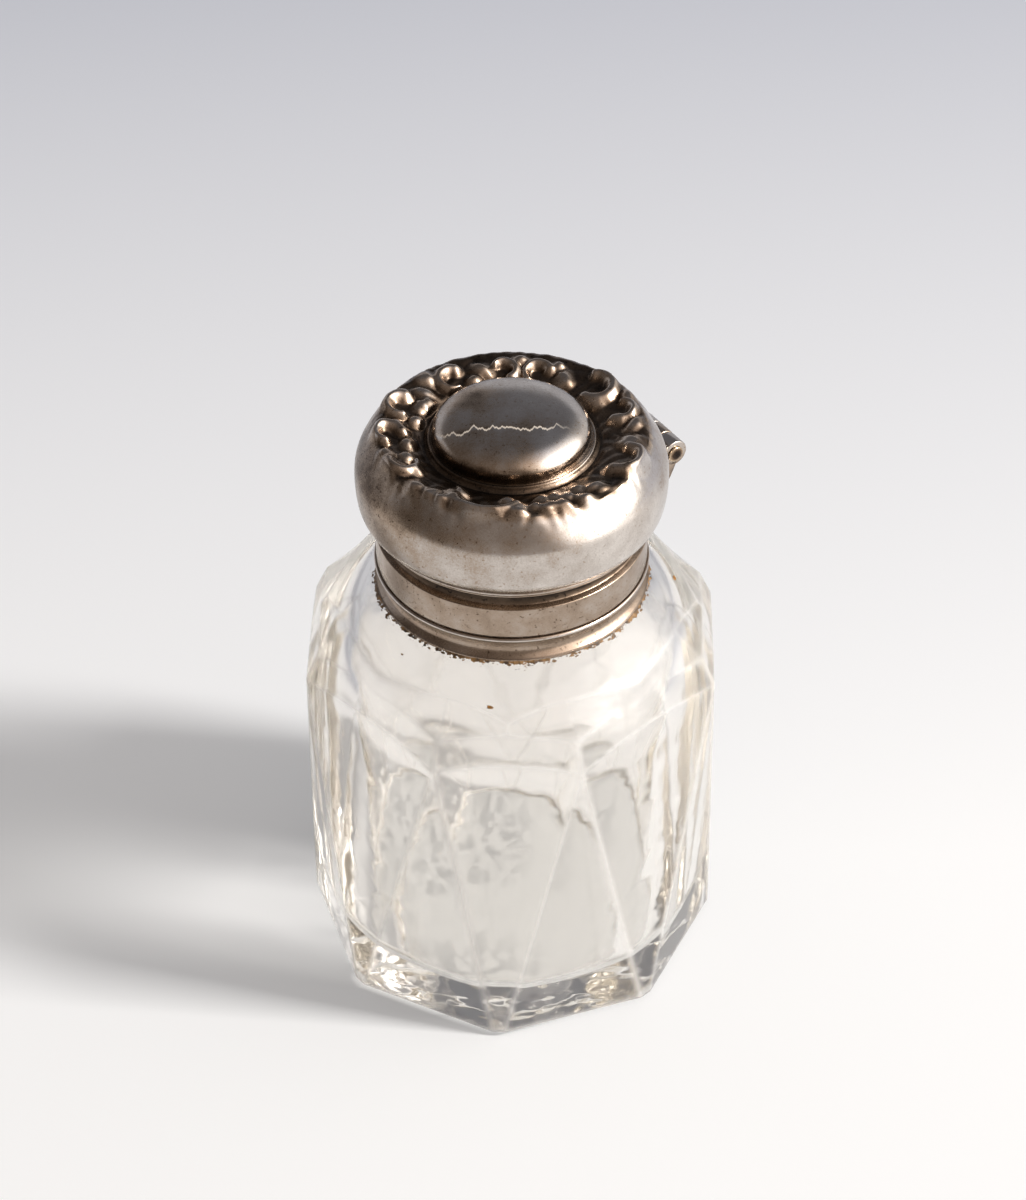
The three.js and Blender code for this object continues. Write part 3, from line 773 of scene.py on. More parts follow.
    def is_inside(self, radius: Array, z: Array) -> Array:
        """Whether points are on the cavity's wall, roof or floor."""
        return (z > 1.5) & (z < 36.0) & (radius < 13.6) & (z < 38.0 - 0.19 * radius)

    def lamp_share(self, radius: Array, azimuth: Array, z: Array) -> Array:
        """Share of lamp light let through: 1 at the sole, 0.97 at the cavity and the cone, 0 for the facets."""
        cone = (z > self.cone_z(radius) - 0.05) & (radius < 16.1)
        return np.where(z < 0.1, 1.0, 0.97 * (self.is_inside(radius, z) | cone))

    def build(self, crystal: bpy.types.Material) -> None:
        """Makes and dresses the glass body.

        Args:
            crystal: the cut glass.
        """
        rings = np.concatenate([self.shoulder(), self.tube()])
        rows, columns = rings.shape[:2]
        foot = self.foot_ring(self.base_radius, self.chamfer)
        sole = self.foot_ring(self.base_radius - self.chamfer, 0.0)
        sole0, foot0 = rows * columns, rows * columns + len(sole)
        faces = grid_faces(rows, columns).tolist() + (grid_faces(2, len(sole)) + sole0).tolist()
        faces += [list(range(foot0 - 1, sole0 - 1, -1)), list(range(sole0 - columns, sole0))]
        # One long flat facet below each side's arch, and one from each corner of the girdle to the foot
        for k in range(8):
            left, right, following = foot0 + 2 * k, foot0 + 2 * k + 1, foot0 + (2 * k + 2) % 16
            corner = (k + 1) * self.side_steps % columns
            arch = list(range(k * self.side_steps, (k + 1) * self.side_steps))
            faces += [[left, right, corner, *arch[::-1]], [right, following, corner]]
        body = link_mesh("cut_glass_body", np.concatenate([rings.reshape(-1, 3), sole, foot]), faces, 7.0)
        inside = lambda radius, _, z: self.is_inside(radius, z)
        seat(body, Body.BOTTLE, Slot.CUT_GLASS, crystal, "glass_bottle", inside=inside, plain=self.lamp_share)


@dataclass
class Stopper:
    """The ground stopper: a tapered plug under a low domed button."""

    plug_end: float = 41.0
    plug_radii: tuple[float, float] = (3.85, 4.03)
    head_radius: float = 6.4
    head_foot: float = 45.68
    head_top: float = 47.2
    lamp_share: float = 0.9

    def build(self, crystal: bpy.types.Material) -> None:
        """Makes and dresses the stopper.

        Args:
            crystal: the cut glass.
        """
        low, high = self.plug_radii
        plug = [(0.0, self.plug_end), (low, self.plug_end, 0.35), (high, self.head_foot, 0.15)]
        rim = [(self.head_radius, self.head_foot, 0.35), (self.head_radius, self.head_top - 0.35, 0.4)]
        button = [(3.0, self.head_top, 1.5), (0.0, self.head_top)]
        stopper = turned("ground_glass_stopper", rounded([*plug, *rim, *button]))
        seat(stopper, Body.STOPPER, Slot.STOPPER_GLASS, crystal, "glass_stopper", plain=self.lamp_share)


@dataclass
class Residue:
    """Plaster and dried scent: a crust along the collar's foot, loose crumbs by it, and spots on the cone."""

    glass: GlassBody
    seed: int = 7
    crumbs: int = 420
    crumb_start: float = 11.74
    near: float = 12.0  # radius within which crumbs are large
    near_size: tuple[float, float] = (0.05, 0.17)
    far_size: tuple[float, float] = (0.02, 0.06)
    gap: float = 0.012  # between a crumb and the glass
    spots: Corners = ((14.9, -7.0, 0.24), (14.05, 94.75, 0.3), (13.2, -44.0, 0.12))  # radius, azimuth, size
    rim: tuple[float, float] = (11.55, 11.76)  # inner and mean outer radius of the crust
    waves: Corners = ((5, 0.06), (13, 0.06), (29, 0.05), (61, 0.045), (131, 0.04), (311, 0.03))

    def crust(self) -> tuple[Array, Array]:
        """Ragged ring of crust: a low ridge whose outer edge wanders by fractal noise.

        The noise is a sum of sines round the axis, each with its number of periods and its height, mm, in `waves`
        and a random phase.

        Returns:
            Points and faces.
        """
        random = np.random.default_rng(self.seed + 1)
        azimuth = np.arange(1200) * 0.3
        noise = np.zeros_like(azimuth)
        for periods, height in self.waves:
            noise += height * np.sin(np.radians(azimuth) * periods + random.uniform(0, 6.3))
        inner = np.full_like(azimuth, self.rim[0])
        edge = self.rim[1] + np.maximum(noise, -0.12)
        ridge = (0.5 * (inner + edge), 0.10 + 0.25 * np.abs(noise))
        rows = [(inner, 0.01), (inner, 0.12), ridge, (edge, 0.035), (edge, 0.01), (inner, 0.01)]
        points = [around(r, azimuth, self.glass.cone_z(r) + lift) for r, lift in rows]
        return np.concatenate(points), grid_faces(len(rows), len(azimuth))

    def flakes(self, radius: Array, azimuth: Array, size: Array) -> tuple[Array, Array]:
        """Lens-shaped flakes that lie on the cone, each a tip above, a tip below and a ragged rim of eight points.

        Args:
            radius: distance of each flake from the axis, mm.
            azimuth: degrees from the front.
            size: radius of each flake, mm.

        Returns:
            Points and faces.
        """
        random = np.random.default_rng(self.seed)
        fall, upright, size = np.radians(self.glass.cone_slope), np.array([0, 0, 1]), size[:, None]
        out, sideways = around(1.0, azimuth, 0.0)[:, None], around(1.0, azimuth + 90, 0.0)[:, None]
        down, normal = np.cos(fall) * out - np.sin(fall) * upright, np.sin(fall) * out + np.cos(fall) * upright
        centre = around(radius, azimuth, self.glass.cone_z(radius))[:, None]
        angle = np.arange(8) * np.pi / 4
        reach = size * random.uniform(0.6, 1.2, (len(size), 8))
        rim = centre + (self.gap + 0.12 * size)[..., None] * normal
        rim = rim + (0.7 * reach * np.cos(angle))[..., None] * down
        rim = rim + (1.3 * reach * np.sin(angle))[..., None] * sideways
        tips = centre + (self.gap + size * np.array([0.4, 0.0]))[..., None] * normal
        i, above, below = np.arange(8), np.full(8, 8), np.full(8, 9)
        j = (i + 1) % 8
        fan = np.stack([np.concatenate([i, j]), np.concatenate([j, i]), np.concatenate([above, below])], axis=-1)
        faces = fan + 10 * np.arange(len(size))[:, None, None]
        return np.concatenate([rim, tips], axis=1).reshape(-1, 3), faces.reshape(-1, 3)

    def build(self, crust: bpy.types.Material, amber: bpy.types.Material) -> None:
        """Makes and dresses the crust, the crumbs, which lie thickest near the collar, and the spots.

        Args:
            crust: plaster and scent.
            amber: dried scent.
        """
        random = np.random.default_rng(self.seed)
        azimuth = random.uniform(-180, 180, self.crumbs)
        clumps = 0.5 + 0.5 * np.sin(np.radians(azimuth) * 7 + 1.0) * np.sin(np.radians(azimuth) * 3 + 0.4)
        radius = self.crumb_start + random.exponential(0.08 + 0.16 * clumps)
        large, small = random.uniform(*self.near_size, self.crumbs), random.uniform(*self.far_size, self.crumbs)
        crumbs = self.flakes(radius, azimuth, np.where(radius < self.near, large, small))
        for name, (points, faces), smooth_angle, material in (
            ("crust_at_collar", crumbs, 60.0, crust),
            ("dried_scent_spots", self.flakes(*np.array(self.spots).T), 60.0, amber),
            ("crust_ring", self.crust(), 50.0, crust),
        ):
            seat(make_mesh(name, points, faces, smooth_angle), Body.BOTTLE, Slot.PLASTER, material)


# The silver


@dataclass
class Collar:
    """The spun collar with its wire, the upstand inside the lid, and the plaster behind them."""

    flange: float = 11.7
    radius: float = 11.55
    foot: float = 38.63
    wire_z: float = 40.9
    wire: float = 0.2
    cove_z: float = 44.1
    cove_depth: float = 0.75
    seat_z: float = 45.75
    wall: float = 0.5
    bezel: float = 11.15
    bezel_foot: float = 45.1
    bezel_top: float = 47.5
    cement: tuple[float, float] = (9.65, 10.25)  # inner and outer radius

    def hollow(self, radius: Array, azimuth: Array, z: Array) -> Array:
        """Film: brown in the cove, golden on the flange, thin and grey on the plain band."""
        flange = 0.06 * (z < 40.8) + 0.30 * hill(z, 40.5, 0.4)
        return 0.45 + flange + 0.5 * hill(z, 44.85, 0.55) + 0.2 * hill(z, 41.1, 0.13) - 0.05 * hill(z, 42.4, 0.8)

    def build(self, silver: bpy.types.Material, plaster: bpy.types.Material) -> None:
        """Makes and dresses the collar's pieces.

        Args:
            silver: spun and tarnished.
            plaster: the cement on the neck.
        """
        side, flange, foot = self.radius, self.flange, self.foot
        ledge, inner, mouth = side - 0.3, side - self.wall - self.cove_depth, self.bezel + 0.05
        cove = 0.5 * (self.cove_z + self.seat_z)
        skirt = [(flange, foot + 0.2), (flange, foot), (flange - 0.05, foot + 0.2, 0.1)]
        skirt += [(flange - 0.65, foot + 0.75, 0.9), (ledge, self.wire_z - 0.25, 0.15), (ledge, self.wire_z, 0.1)]
        band = [(side, self.wire_z + 0.35, 0.12), (side, self.cove_z, 0.12), (side - 0.5, self.cove_z + 0.2, 0.2)]
        band += [(side - self.cove_depth, cove, 0.5), (side - 0.35, self.seat_z - 0.3, 0.25)]
        lip = [(side + 0.15, self.seat_z - 0.12, 0.05), (side + 0.15, self.seat_z, 0.05), (mouth, self.seat_z)]
        back = [(mouth, self.seat_z - 0.4), (inner, cove), (inner, 39.75), (flange - self.wall, 39.1), skirt[0]]
        collar = turned("spun_collar", rounded([*skirt, *band, *lip, *back], 5))
        seat(collar, Body.BOTTLE, Slot.AGED_SILVER, silver, "collar_band", hollow=self.hollow)
        wire = wire_ring("collar_wire", side, self.wire_z, self.wire)
        rubbed = lambda radius, azimuth, z: 0.75 - 0.55 * (radius - side) / self.wire
        seat(wire, Body.BOTTLE, Slot.AGED_SILVER, silver, "collar_bead_wire", hollow=rubbed)
        edge, low, top = self.bezel, self.bezel_foot, self.bezel_top
        outer = [(9.75, low), (edge - 0.4, low, 0.1), (edge, low + 0.32, 0.1), (edge, top, 0.12)]
        within = [(edge - 0.35, top, 0.12), (edge - 0.35, low + 0.4, 0.15), (edge - 0.5, low + 0.3, 0.1)]
        bezel = turned("collar_upstand", rounded([*outer, *within, (9.75, low + 0.3), outer[0]], 4))
        dull = lambda radius, azimuth, z: 0.62 - 0.2 * (z - 45.4)
        seat(bezel, Body.BOTTLE, Slot.AGED_SILVER, silver, "collar_bezel", hollow=dull)
        near, far = self.cement
        cement = turned("plaster_ring", [(near, 40.9), (far, 39.85), (far, 45.0), (near, 45.0), (near, 40.9)], 96)
        seat(cement, Body.BOTTLE, Slot.PLASTER, plaster, "neck_cement")


@dataclass(frozen=True)
class Scroll:
    """A raised C: an arc round a centre, with a rounded section that thins towards its end."""

    azimuth: float
    radius: float
    bend: float
    start: float  # degrees anticlockwise from outwards
    sweep: float
    width: float = 0.62
    rise: float = 0.9


@dataclass(frozen=True)
class Bead:
    """A raised oval boss. `turn` is its long axis in degrees anticlockwise from outwards."""

    azimuth: float
    radius: float
    size: float
    stretch: float = 1.0
    turn: float = 0.0
    rise: float = 0.75


SCROLLS = (
    Scroll(-14, 7.7, 3.0, -66, 128, 0.6, 0.95),
    Scroll(70, 9.7, 1.55, -100, 190, 0.62, 1.0),
    Scroll(133, 9.6, 1.45, -170, 215, 0.58, 1.0),
    Scroll(166, 9.0, 1.1, -60, 210, 0.42),
    Scroll(-176, 9.1, 1.0, -150, 200, 0.42),
    Scroll(-147, 9.2, 1.15, -40, 220, 0.45),
    Scroll(-113, 10.0, 1.3, -80, 200, 0.5),
    Scroll(-90, 10.1, 1.2, -150, 230, 0.5),
    Scroll(-66, 9.7, 1.15, -30, 200, 0.5),
    Scroll(110, 9.6, 1.1, -140, 200, 0.42, 0.8),
    Scroll(-35, 9.4, 1.2, 20, 130, 0.45, 0.8),
)
BEADS = (
    Bead(2, 10.0, 0.85, 1.1),
    Bead(-2, 8.7, 0.55),
    Bead(11, 9.9, 0.5),
    Bead(16, 8.9, 0.6),
    Bead(22, 8.9, 0.6),
    Bead(28, 9.4, 0.65),
    Bead(17, 10.2, 0.62, 1.4, 90),
    Bead(23, 10.3, 0.6, 1.3, 60),
    Bead(36, 9.0, 0.6),
    Bead(34, 10.5, 0.6, 1.4, 40),
    Bead(43, 9.7, 0.6, 1.5, 60),
    Bead(84, 9.8, 0.85),
    Bead(97, 10.2, 0.55, 1.5, 50),
    Bead(104, 9.2, 0.55),
    Bead(117, 10.9, 0.5, 1.6, 80),
    Bead(124, 8.6, 0.6),
    Bead(151, 9.0, 0.7, 1.3, 30),
    Bead(157, 10.1, 0.5),
    Bead(176, 10.2, 0.5, 1.4, 90),
    Bead(-164, 9.5, 0.6, 1.4, 60),
    Bead(-158, 8.4, 0.6),
    Bead(-136, 10.4, 0.8),
    Bead(-128, 9.3, 0.6, 1.4, 20),
    Bead(-121, 8.5, 0.65, 1.5, 80),
    Bead(-106, 8.2, 0.6),
    Bead(-99, 9.6, 0.55),
    Bead(-83, 8.6, 0.55, 1.4, 70),
    Bead(-74, 10.7, 0.7),
    Bead(-71, 9.0, 0.6),
    Bead(-64, 10.5, 0.8),
    Bead(-59, 9.2, 0.65),
    Bead(-47, 10.5, 0.7, 1.3, 60),
    Bead(-38, 10.2, 0.85),
    Bead(-28, 8.7, 0.5, 1.5, 60),
)


@dataclass
class Lid:
    """The stamped lid: bulged side, sunk band of scrolls, dome in a moulded ring, rim wire and gilt liner."""

    side: Corners = (
        *((12.0, 46.35), (12.45, 46.7), (12.88, 47.4), (13.06, 48.4), (13.12, 49.5), (13.1, 50.3)),
        *((12.99, 50.95), (12.73, 51.6), (12.42, 52.2), (12.08, 52.75), (11.74, 53.22), (11.36, 53.58)),
    )
    ground: Corners = (
        *((11.36, 53.58), (10.95, 53.7), (10.4, 53.6), (9.5, 53.4)),
        *((8.6, 53.22), (8.0, 53.05), (7.6, 52.88), (7.35, 52.86)),
    )
    dome: Corners = (
        *((7.35, 52.86), (7.12, 53.05), (6.98, 53.28), (6.83, 53.33), (6.7, 53.26), (6.62, 53.5), (6.6, 53.9)),
        *((6.48, 54.35), (6.15, 54.78), (5.65, 55.13), (4.95, 55.44), (4.0, 55.68), (2.4, 55.9), (0.0, 56.0)),
    )
    under: Corners = ((4.0, 55.05), (5.8, 54.1), (6.2, 52.45), (10.8, 52.45))  # the hollow back of the stamping
    wall: float = 0.42
    relief: float = 0.78  # mm that a scroll of full rise stands up
    foliage: float = 0.12  # mm that the small leaves between the scrolls stand up
    towards_viewer: float = 0.3  # mm that the ornament lies nearer than its centres say
    columns: int = 480
    wire: tuple[float, float, float] = (11.75, 46.08, 0.2)  # ring's radius and height, wire's radius
    liner: tuple[float, float] = (11.34, 11.62)  # inner and outer radius
    liner_z: tuple[float, float] = (46.35, 52.36)
    liner_roof: float = 0.28

    def ornament(self, x: Array, y: Array) -> Array:
        """Height of the stamped ornament.

        A scroll rises by `swell` of the distance from its arc, and a bead by that of the distance in an oval. The
        heights join as the fourth root of the sum of their fourth powers, which keeps the creases soft.

        Args:
            x: across, mm.
            y: away from the viewer, mm.

        Returns:
            Heights in mm.
        """
        y = y + self.towards_viewer
        total = np.zeros_like(x)
        for s in SCROLLS:
            cx, cy, _ = around(s.radius, s.azimuth, 0.0)
            outward = np.degrees(np.arctan2(cy, cx))
            along = np.mod(np.degrees(np.arctan2(y - cy, x - cx)) - outward - s.start, 360)
            # Beyond the arc's ends the distance is taken from the nearer end
            beyond = along - s.sweep
            along = np.where(beyond <= 0, along, np.where(beyond > (360 - s.sweep) / 2, 0, s.sweep))
            a = np.radians(outward + s.start + along)
            distance = np.hypot(x - cx - s.bend * np.cos(a), y - cy - s.bend * np.sin(a))
            width = s.width * (1.1 - 0.45 * along / s.sweep)
            total += (s.rise * swell(distance / (1.7 * width))) ** 4
        for b in BEADS:
            cx, cy, _ = around(b.radius, b.azimuth, 0.0)
            turn = np.arctan2(cy, cx) + np.radians(b.turn)
            u = (x - cx) * np.cos(turn) + (y - cy) * np.sin(turn)
            v = (y - cy) * np.cos(turn) - (x - cx) * np.sin(turn)
            total += (b.rise * swell(np.hypot(u / b.stretch, v) / (1.7 * b.size))) ** 4
        # Small leaves: two crossed waves about 1.9 mm long, bent by slower ones
        u, v = x + 0.6 * np.sin(1.3 * y + 0.6), y + 0.6 * np.sin(1.1 * x + 2.1)
        leaves = 0.5 + 0.5 * np.sin(3.2 * u) * np.sin(3.4 * v)
        return self.relief * total**0.25 + self.foliage * leaves * np.clip(1 - total, 0, 1)

    def shell(self) -> Array:
        """Rings of the lid from its lip over the crown and back inside.

        In the band, which starts high on the shoulder and fades at both edges, the ornament is added to z.

        Returns:
            The rings of points.
        """
        outside = [*spline(self.side, 6)[:-1], *spline(self.ground, 10)[:-1], *spline(self.dome, 4)]
        back = [(radius - self.wall, z) for radius, z in self.side[7:1:-1]]
        inside = [(0.0, self.dome[-1][1] - self.wall), *self.under, *back, self.side[0]]
        radius, z = np.array([*outside, *inside]).T[..., None]
        points = around(radius, np.arange(self.columns) * 360 / self.columns, z)
        share = ramp(radius, 7.4, 7.75) * ramp(radius, 12.35, 11.45) * (z > 52.0)
        share[len(outside) :] = 0.0
        points[..., 2] += self.ornament(points[..., 0], points[..., 1]) * share
        return points

    def hollow(self, radius: Array, azimuth: Array, z: Array) -> Array:
        """Film on the lid with painted shade and highlights: the thickest film of its ground, trench, side and
        dome.

        The band's ground is dark and lightens with the height of the ornament over it. The trench round the dome
        is nearly black: patina deepened by painted shade. The side is thin but for its lip, its left, which is
        painted shade away from the window, and a band high up, which is painted reflection of the dark room;
        towards the window it is thinner still, as a painted highlight. The dome is darker at its foot, less so
        towards the window as a painted highlight, darker at its upper left, and darker below the painted
        reflection line as painted reflection.

        Args:
            radius: distances from the axis, mm.
            azimuth: degrees from the front.
            z: heights, mm.

        Returns:
            The film's share of its full thickness.
        """
        x, y, _ = around(radius, azimuth, 0.0).T
        rise, high = self.ornament(x, y), z > 52.4
        ground = ramp(radius, 6.9, 7.25) * ramp(radius, 12.0, 11.1) * high * (0.88 - 0.44 * ramp(rise, 0, 0.55))
        # Patina in the trench, deepened to nearly black as painted shade
        trench_patina_and_shade = 0.92 * hill(radius, 7.4, 0.45) * high * ramp(rise, 0.48, 0.08)
        # Painted shade on the left, away from the window, and a painted highlight towards it
        left = 0.34 * hill(azimuth, -82, 40) - 0.16 * hill(azimuth, 50, 35)
        # The band high on the side at 51.6 mm is painted reflection of the dark room
        side = (0.30 + 0.3 * hill(z, 46.5, 0.35) + left + 0.10 * hill(z, 51.6, 0.8)) * (radius > 11.3)
        upper_left = 0.42 * hill(x, -3.4, 2.0) * hill(y, 2.0, 2.4)
        # Painted reflection: darker on the lower left of the dome, below the painted reflection line
        painted_reflection_below_line = 0.24 * ramp(y, -1.9, -2.7) * ramp(x, 2.8, 0.8)
        # Darker foot of the dome; less film towards the window is a painted highlight
        foot = (0.42 - 0.3 * hill(azimuth, 75, 45)) * ramp(radius, 6.3, 6.65)
        dome = (0.22 + painted_reflection_below_line + foot + upper_left) * (radius < 7.25) * high
        return np.maximum.reduce([ground, trench_patina_and_shade, side, dome])

    def build(self, silver: bpy.types.Material, plain: bpy.types.Material, gilt: bpy.types.Material) -> None:
        """Makes and dresses the lid's pieces.

        Args:
            silver: stamped and rubbed.
            plain: silver of the wire.
            gilt: worn gilding.
        """
        points = self.shell()
        shell = make_mesh("stamped_lid", points, grid_faces(*points.shape[:2]), 40.0)
        seat(shell, Body.LID, Slot.AGED_SILVER, silver, "lid_shell", hollow=self.hollow)
        ring, _, thick = self.wire
        rubbed = lambda radius, azimuth, z: 0.7 - 0.35 * (radius - ring) / thick
        wire = wire_ring("lid_wire", *self.wire)
        seat(wire, Body.LID, Slot.AGED_SILVER, plain, "lid_rim_wire", hollow=rubbed)
        (inner, outer), (mouth, top) = self.liner, self.liner_z
        roof = top - self.liner_roof
        cap = [(outer, mouth), (outer, top, 1.2), (0.0, top), (0.0, roof), (inner, roof, 0.95), (inner, mouth)]
        liner = turned("gilt_liner", rounded([*cap, cap[0]], 8))
        worn = lambda radius, azimuth, z: 0.25 * hill(z, 52.0, 0.5) + 0.1
        seat(liner, Body.LID, Slot.GILT, gilt, "lid_liner", hollow=worn)


@dataclass
class Hinge:
    """The stand-away hinge: a strap and two knuckles on the collar, a strap and one on the lid, and the pin.

    Its own frame has x outwards and y along the pin, from the middle of the pin.
    """

    azimuth: float = 123.0
    axis_radius: float = 15.0
    axis_z: float = 46.8
    barrel: float = 1.2
    bore: float = 0.5
    pin: float = 0.44
    pin_head: float = 0.72
    length: float = 5.1
    gap: float = 0.1
    reach: float = -3.12  # from the pin to the collar

    @property
    def knuckle(self) -> float:
        """Length of one knuckle."""
        return (self.length - 2 * self.gap) / 3

    def placed(self, local: Array) -> Array:
        """Points of the hinge's own frame, last axis 3, on the bottle."""
        axes = np.stack([around(1.0, self.azimuth, 0.0), around(1.0, self.azimuth + 90, 0.0), (0.0, 0.0, 1.0)])
        return around(self.axis_radius, self.azimuth, self.axis_z) + local @ axes

    def on_pin(self, name: str, profile: Profile, columns: int = 64) -> bpy.types.Object:
        """Piece turned about the pin.

        Args:
            name: name of the piece.
            profile: (radius, place along the pin) points.
            columns: facets round the pin.

        Returns:
            The object.
        """
        radius, along = np.array(profile, float).T[..., None]
        turn = np.arange(columns) * 2 * np.pi / columns
        local = np.broadcast_arrays(radius * np.cos(turn), along, radius * np.sin(turn))
        return make_mesh(name, self.placed(np.stack(local, axis=-1)), grid_faces(len(profile), columns))

    def knuckle_tube(self, name: str, start: float) -> bpy.types.Object:
        """Knuckle rolled from strip, from `start` along the pin."""
        end = start + self.knuckle
        ring = [(self.bore, start), (self.barrel, start, 0.12), (self.barrel, end, 0.12), (self.bore, end)]
        return self.on_pin(name, rounded([*ring, ring[0]], 3))

    def strap(self, name: str, outline: Array, start: float, length: float) -> bpy.types.Object:
        """Strap: an outline in the plane square to the pin, carried along it, with softened edges.

        The sides are the outline at both ends, and each end closes with a fan round the outline's middle.

        Args:
            name: name of the piece.
            outline: (outwards, up) points from the pin, closed by the last meeting the first.
            start: where it begins along the pin, mm.
            length: its length along the pin, mm.

        Returns:
            The object.
        """
        middle = outline.mean(axis=0)
        steps = ((0.0, 0.0), (0.93, 0.0), (1.0, 0.08))
        rings = [(middle + (outline - middle) * share, inset) for share, inset in steps]
        rings += [(ring, length - along) for ring, along in rings[::-1]]
        local = [np.insert(ring, 1, start + along, axis=1) for ring, along in rings]
        return make_mesh(name, self.placed(np.stack(local)), grid_faces(len(rings), len(outline)), 50.0)

    def pin_painted_shade_and_highlight(self, radius: Array, azimuth: Array, z: Array) -> Array:
        """Film on the pin: painted shade in the middle of its heads, a pale painted highlight towards their rims.
        """
        off = np.hypot(radius * np.cos(np.radians(azimuth - self.azimuth)) - self.axis_radius, z - self.axis_z)
        return 1.0 - 0.8 * ramp(off, 0.3, 0.7)

    def build(self, silver: bpy.types.Material, wire: bpy.types.Material) -> None:
        """Makes and dresses the hinge's pieces.

        Args:
            silver: spun and tarnished.
            wire: the metal of the pin.
        """
        half, knuckle, reach = self.length / 2, self.knuckle, self.reach
        lower = bow((reach, -4.42), (-0.6, -3.95), (0.3, -0.7), 13)
        outline = np.concatenate([lower, bow((-0.9, -0.6), (-1.3, -3.0), (reach, -3.45), 13)])
        film = lambda radius, azimuth, z: 0.75 - 0.12 * (z - 43.5)  # thicker towards the collar's foot
        for side, start in (("near", -half), ("far", half - knuckle)):
            tube = self.knuckle_tube(f"collar_knuckle_{side}", start)
            seat(tube, Body.BOTTLE, Slot.AGED_SILVER, silver, hollow=film)
            strap = self.strap(f"collar_strap_{side}", outline, start, knuckle)
            seat(strap, Body.BOTTLE, Slot.AGED_SILVER, silver, hollow=film)
        web = self.strap("collar_strap_web", outline[outline[:, 1] < -1.45], -half + 0.01, self.length - 0.02)
        seat(web, Body.BOTTLE, Slot.AGED_SILVER, silver, "collar_hinge_leaf", hollow=film)
        lid_top = bow((-0.1, 1.1), (-1.2, 0.9), (-2.35, 1.7), 13)
        lid_outline = np.concatenate([[(-2.75, 0.0), (-0.9, -0.55)], lid_top])
        lid_strap = self.strap("lid_strap", lid_outline, -knuckle / 2, knuckle)
        seat(lid_strap, Body.LID, Slot.AGED_SILVER, silver, "lid_hinge_leaf", hollow=0.45)
        seat(self.knuckle_tube("lid_knuckle", -knuckle / 2), Body.LID, Slot.AGED_SILVER, silver, hollow=0.45)
        head, end = self.pin_head, half + self.gap / 2
        peened = [(head, end, 0.05), (head, end + 0.14, 0.1), (0.35, end + 0.22, 0.2), (0.0, end + 0.22)]
        half_pin = rounded([(self.pin, end), *peened], 4)
        pin = self.on_pin("peened_pin", [*((radius, -along) for radius, along in half_pin[::-1]), *half_pin])
        seat(pin, Body.BOTTLE, Slot.PIN, wire, "hinge_pin", hollow=self.pin_painted_shade_and_highlight)


# The studio


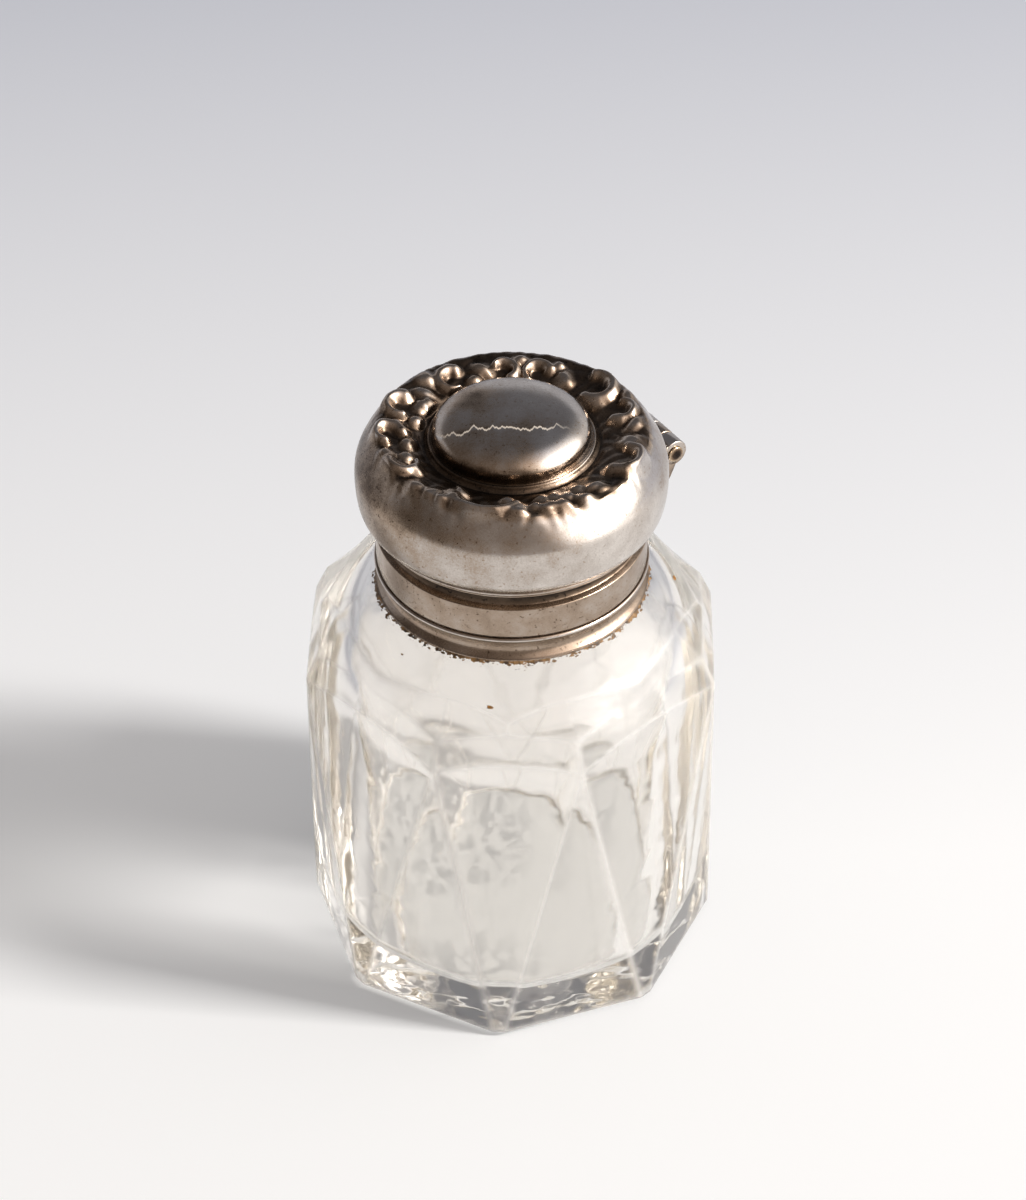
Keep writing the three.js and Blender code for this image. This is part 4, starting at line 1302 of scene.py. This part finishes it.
@dataclass
class Studio:
    """Pale floor, soft light from a window on the right, and a camera at the photograph's angle."""

    target: tuple[float, float, float] = (0.107, 0.0, 35.49)
    distance: float = 268.07
    elevation: float = 40.217  # degrees
    lens: float = 93.08
    floor_rings: tuple[float, ...] = (0.0, 30.0, 60.0, 120.0, 250.0, 600.0, 3000.0)
    air_film: float = 0.08  # paper is rough, and leaves air under the polished sole
    window_azimuth: float = 79.0  # degrees
    window_rise: float = 38.0  # degrees above the floor
    window_distance: float = 1400.0  # from the bottle's middle, 30 mm up
    window_size: tuple[float, float] = (220.0, 420.0)
    window_watts: float = 20.3
    window_colour: str = "#FFFDFA"
    glint_direction: tuple[float, float, float] = (0.75, -0.25, 0.61)  # where polished metal sees the window
    glint_edge: tuple[float, float] = (0.66, 0.90)  # cosines from it at which the window starts and is full
    glint: float = 3.6  # how much brighter than the room
    ceiling: str = "#6F7076"  # dim, behind the bottle
    # The room's other parts, each with the axes' ranges over which it comes in
    room: tuple[tuple[str, tuple[tuple[str, float, float], ...]], ...] = (
        ("#958B84", (("Y", 0.5, -0.7),)),  # behind the viewer
        ("#B5ADA7", (("Y", 0.1, -0.5), ("Z", 0.42, 0.05))),  # paler towards its horizon
        ("#6A625C", (("X", -0.3, -0.95),)),  # dim on the left
        ("#C4C5CB", (("Z", 0.42, 0.30), ("Y", -0.2, 0.3))),  # the sweep of paper, up to about 22 degrees
        ("#F4F1EE", (("X", 0.35, 0.9),)),  # the bright wall on the right
    )
    backdrop: str = "#BABBC3"  # seen by the camera itself

    def camera(self) -> None:
        """Places the camera."""
        data = bpy.data.cameras.new("camera")
        data.sensor_width, data.lens, data.clip_start = 36.0, self.lens, 0.01
        camera = link_object("camera", data)
        rise = float(np.radians(self.elevation))
        x, y, z = self.target
        place = (x, y - self.distance * float(np.cos(rise)), z + self.distance * float(np.sin(rise)))
        camera.location = [value * MM for value in place]
        camera.rotation_euler = (np.pi / 2 - rise, 0.0, 0.0)
        bpy.context.scene.camera = camera

    def floor(self) -> None:
        """Makes the floor, a disc of paper."""
        rings = np.array(self.floor_rings)[:, None]
        points = around(rings, np.arange(96) * 3.75, -self.air_film)
        floor = link_mesh("floor", points.reshape(-1, 3), grid_faces(len(rings), 96)[:, ::-1].tolist(), 30.0)
        floor.data.materials.append(Paper("paper_floor").material())

    def world(self) -> None:
        """Lights the room, whose parts are mixed by smooth steps of the direction's axes.

        Glossy rays see a window glow in it. Its edge is a smooth step of the cosine between their direction and
        the window's.
        """
        world = bpy.data.worlds.new("room")
        world.use_nodes = True
        world.node_tree.nodes.clear()
        add = partial(add_node, world.node_tree)
        direction = add("TexCoord").outputs["Generated"]
        axes = add("SeparateXYZ", direction).outputs
        paths = add("LightPath").outputs
        room = linear(self.ceiling)
        for colour, ranges in self.room:
            shares = [
                add("MapRange", axes[axis], *reach, interpolation_type="SMOOTHSTEP") for axis, *reach in ranges
            ]
            share = shares[0] if len(shares) == 1 else add("Math", *shares, operation="MULTIPLY")
            room = add("Mix", {0: share, 6: room, 7: linear(colour)}, data_type="RGBA").outputs[2]
        seen = {0: paths["Is Camera Ray"], 6: room, 7: linear(self.backdrop)}
        window = add("VectorMath", direction, self.glint_direction, operation="DOT_PRODUCT").outputs["Value"]
        near = add("MapRange", window, *self.glint_edge, interpolation_type="SMOOTHSTEP")
        glint = add("Math", near, paths["Is Glossy Ray"], operation="MULTIPLY")
        strength = add("Math", glint, self.glint, 1.0, operation="MULTIPLY_ADD")
        add("OutputWorld", add("Background", add("Mix", seen, data_type="RGBA").outputs[2], strength))
        bpy.context.scene.world = world

    def window(self) -> None:
        """Adds the window, a soft lamp that faces the bottle."""
        data = bpy.data.lights.new("window", "AREA")
        data.shape, data.energy, data.color = "RECTANGLE", self.window_watts, linear(self.window_colour)[:3]
        data.size, data.size_y = (side * MM for side in self.window_size)
        rise = float(np.radians(self.window_rise))
        up = 30 + self.window_distance * float(np.sin(rise))
        lamp = link_object("window", data)
        lamp.location = around(self.window_distance * float(np.cos(rise)), self.window_azimuth, up) * MM
        lamp.rotation_euler = (np.pi / 2 - rise, 0.0, float(np.radians(self.window_azimuth)))

    def build(self) -> None:
        """Builds the camera, the floor, the room and the window."""
        scene = bpy.context.scene
        scene.view_settings.view_transform = "Standard"
        # Light that turns round inside the thick walls needs many bounces to get out again
        scene.cycles.max_bounces = scene.cycles.glossy_bounces = scene.cycles.transmission_bounces = 32
        scene.cycles.transparent_max_bounces = 24
        scene.cycles.diffuse_bounces = 3
        # The crystal's own share for lamps says how much light reaches the paper through it
        scene.cycles.caustics_refractive = False
        self.camera()
        self.floor()
        self.world()
        self.window()


def main() -> None:
    """Builds the bottle's looks round its CAD frame. Each piece is reported as it is seated."""
    logging.basicConfig(level=logging.INFO, format="%(name)s: %(message)s")
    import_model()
    Studio().build()
    crystal = CutCrystal().material()
    # Stamped, and rubbed bright on its high places by a century of hands, with a painted reflection line on the
    # dome
    stamped = AgedSilver("silver_stamped_and_rubbed", painted_reflection_line=True).material()
    # Spun and seldom rubbed: a more even film, and scratches that run round
    spun = AgedSilver("silver_spun_and_tarnished", round_axis=9.0, unevenness=0.26).material()
    # Gilding worn thin: warm yellow, brown where dirt has stayed
    gold = {"clean": "#E2C27C", "grey": "#D2AE62", "straw": "#B48B46", "brown": "#6E4E2A", "black": "#3A2816"}
    gilt = AgedSilver("silver_gilt_worn", **gold).material()
    # Drawn wire of a copper alloy, dull brown; its heads carry painted shade and a painted highlight
    copper = {"clean": "#DCCDB4", "grey": "#B9A389", "straw": "#86705C", "brown": "#4E4036", "black": "#1E1916"}
    wire = AgedSilver("copper_alloy_wire_dull", **copper).material()
    # Plaster of Paris, mixed and packed by hand: chalky, pitted and yellowed by scent
    plaster = GrainySkin("plaster_of_paris_yellowed", "#D9CDB4", "#A88C62", 0.5, (0.0, 1.0), 0.95, 0.05).material()
    # Plaster crumbs glued by old scent: brown and rough
    crust = GrainySkin("plaster_and_scent_crust", "#3A2A1C", "#9A7444", 0.5, (0.35, 0.65), 0.5, 0.03).material()
    # Scent dried to a resin: amber where thin, brown where thick
    amber = GrainySkin("scent_dried_to_resin", "#4A3018", "#B07A2E", 0.25, (0.35, 0.65), 0.5, 0.03).material()
    glass = GlassBody()
    glass.build(crystal)
    Residue(glass).build(crust, amber)
    Stopper().build(crystal)
    Collar().build(spun, plaster)
    Lid().build(stamped, spun, gilt)
    Hinge().build(spun, wire)


if __name__ == "__main__":
    main()
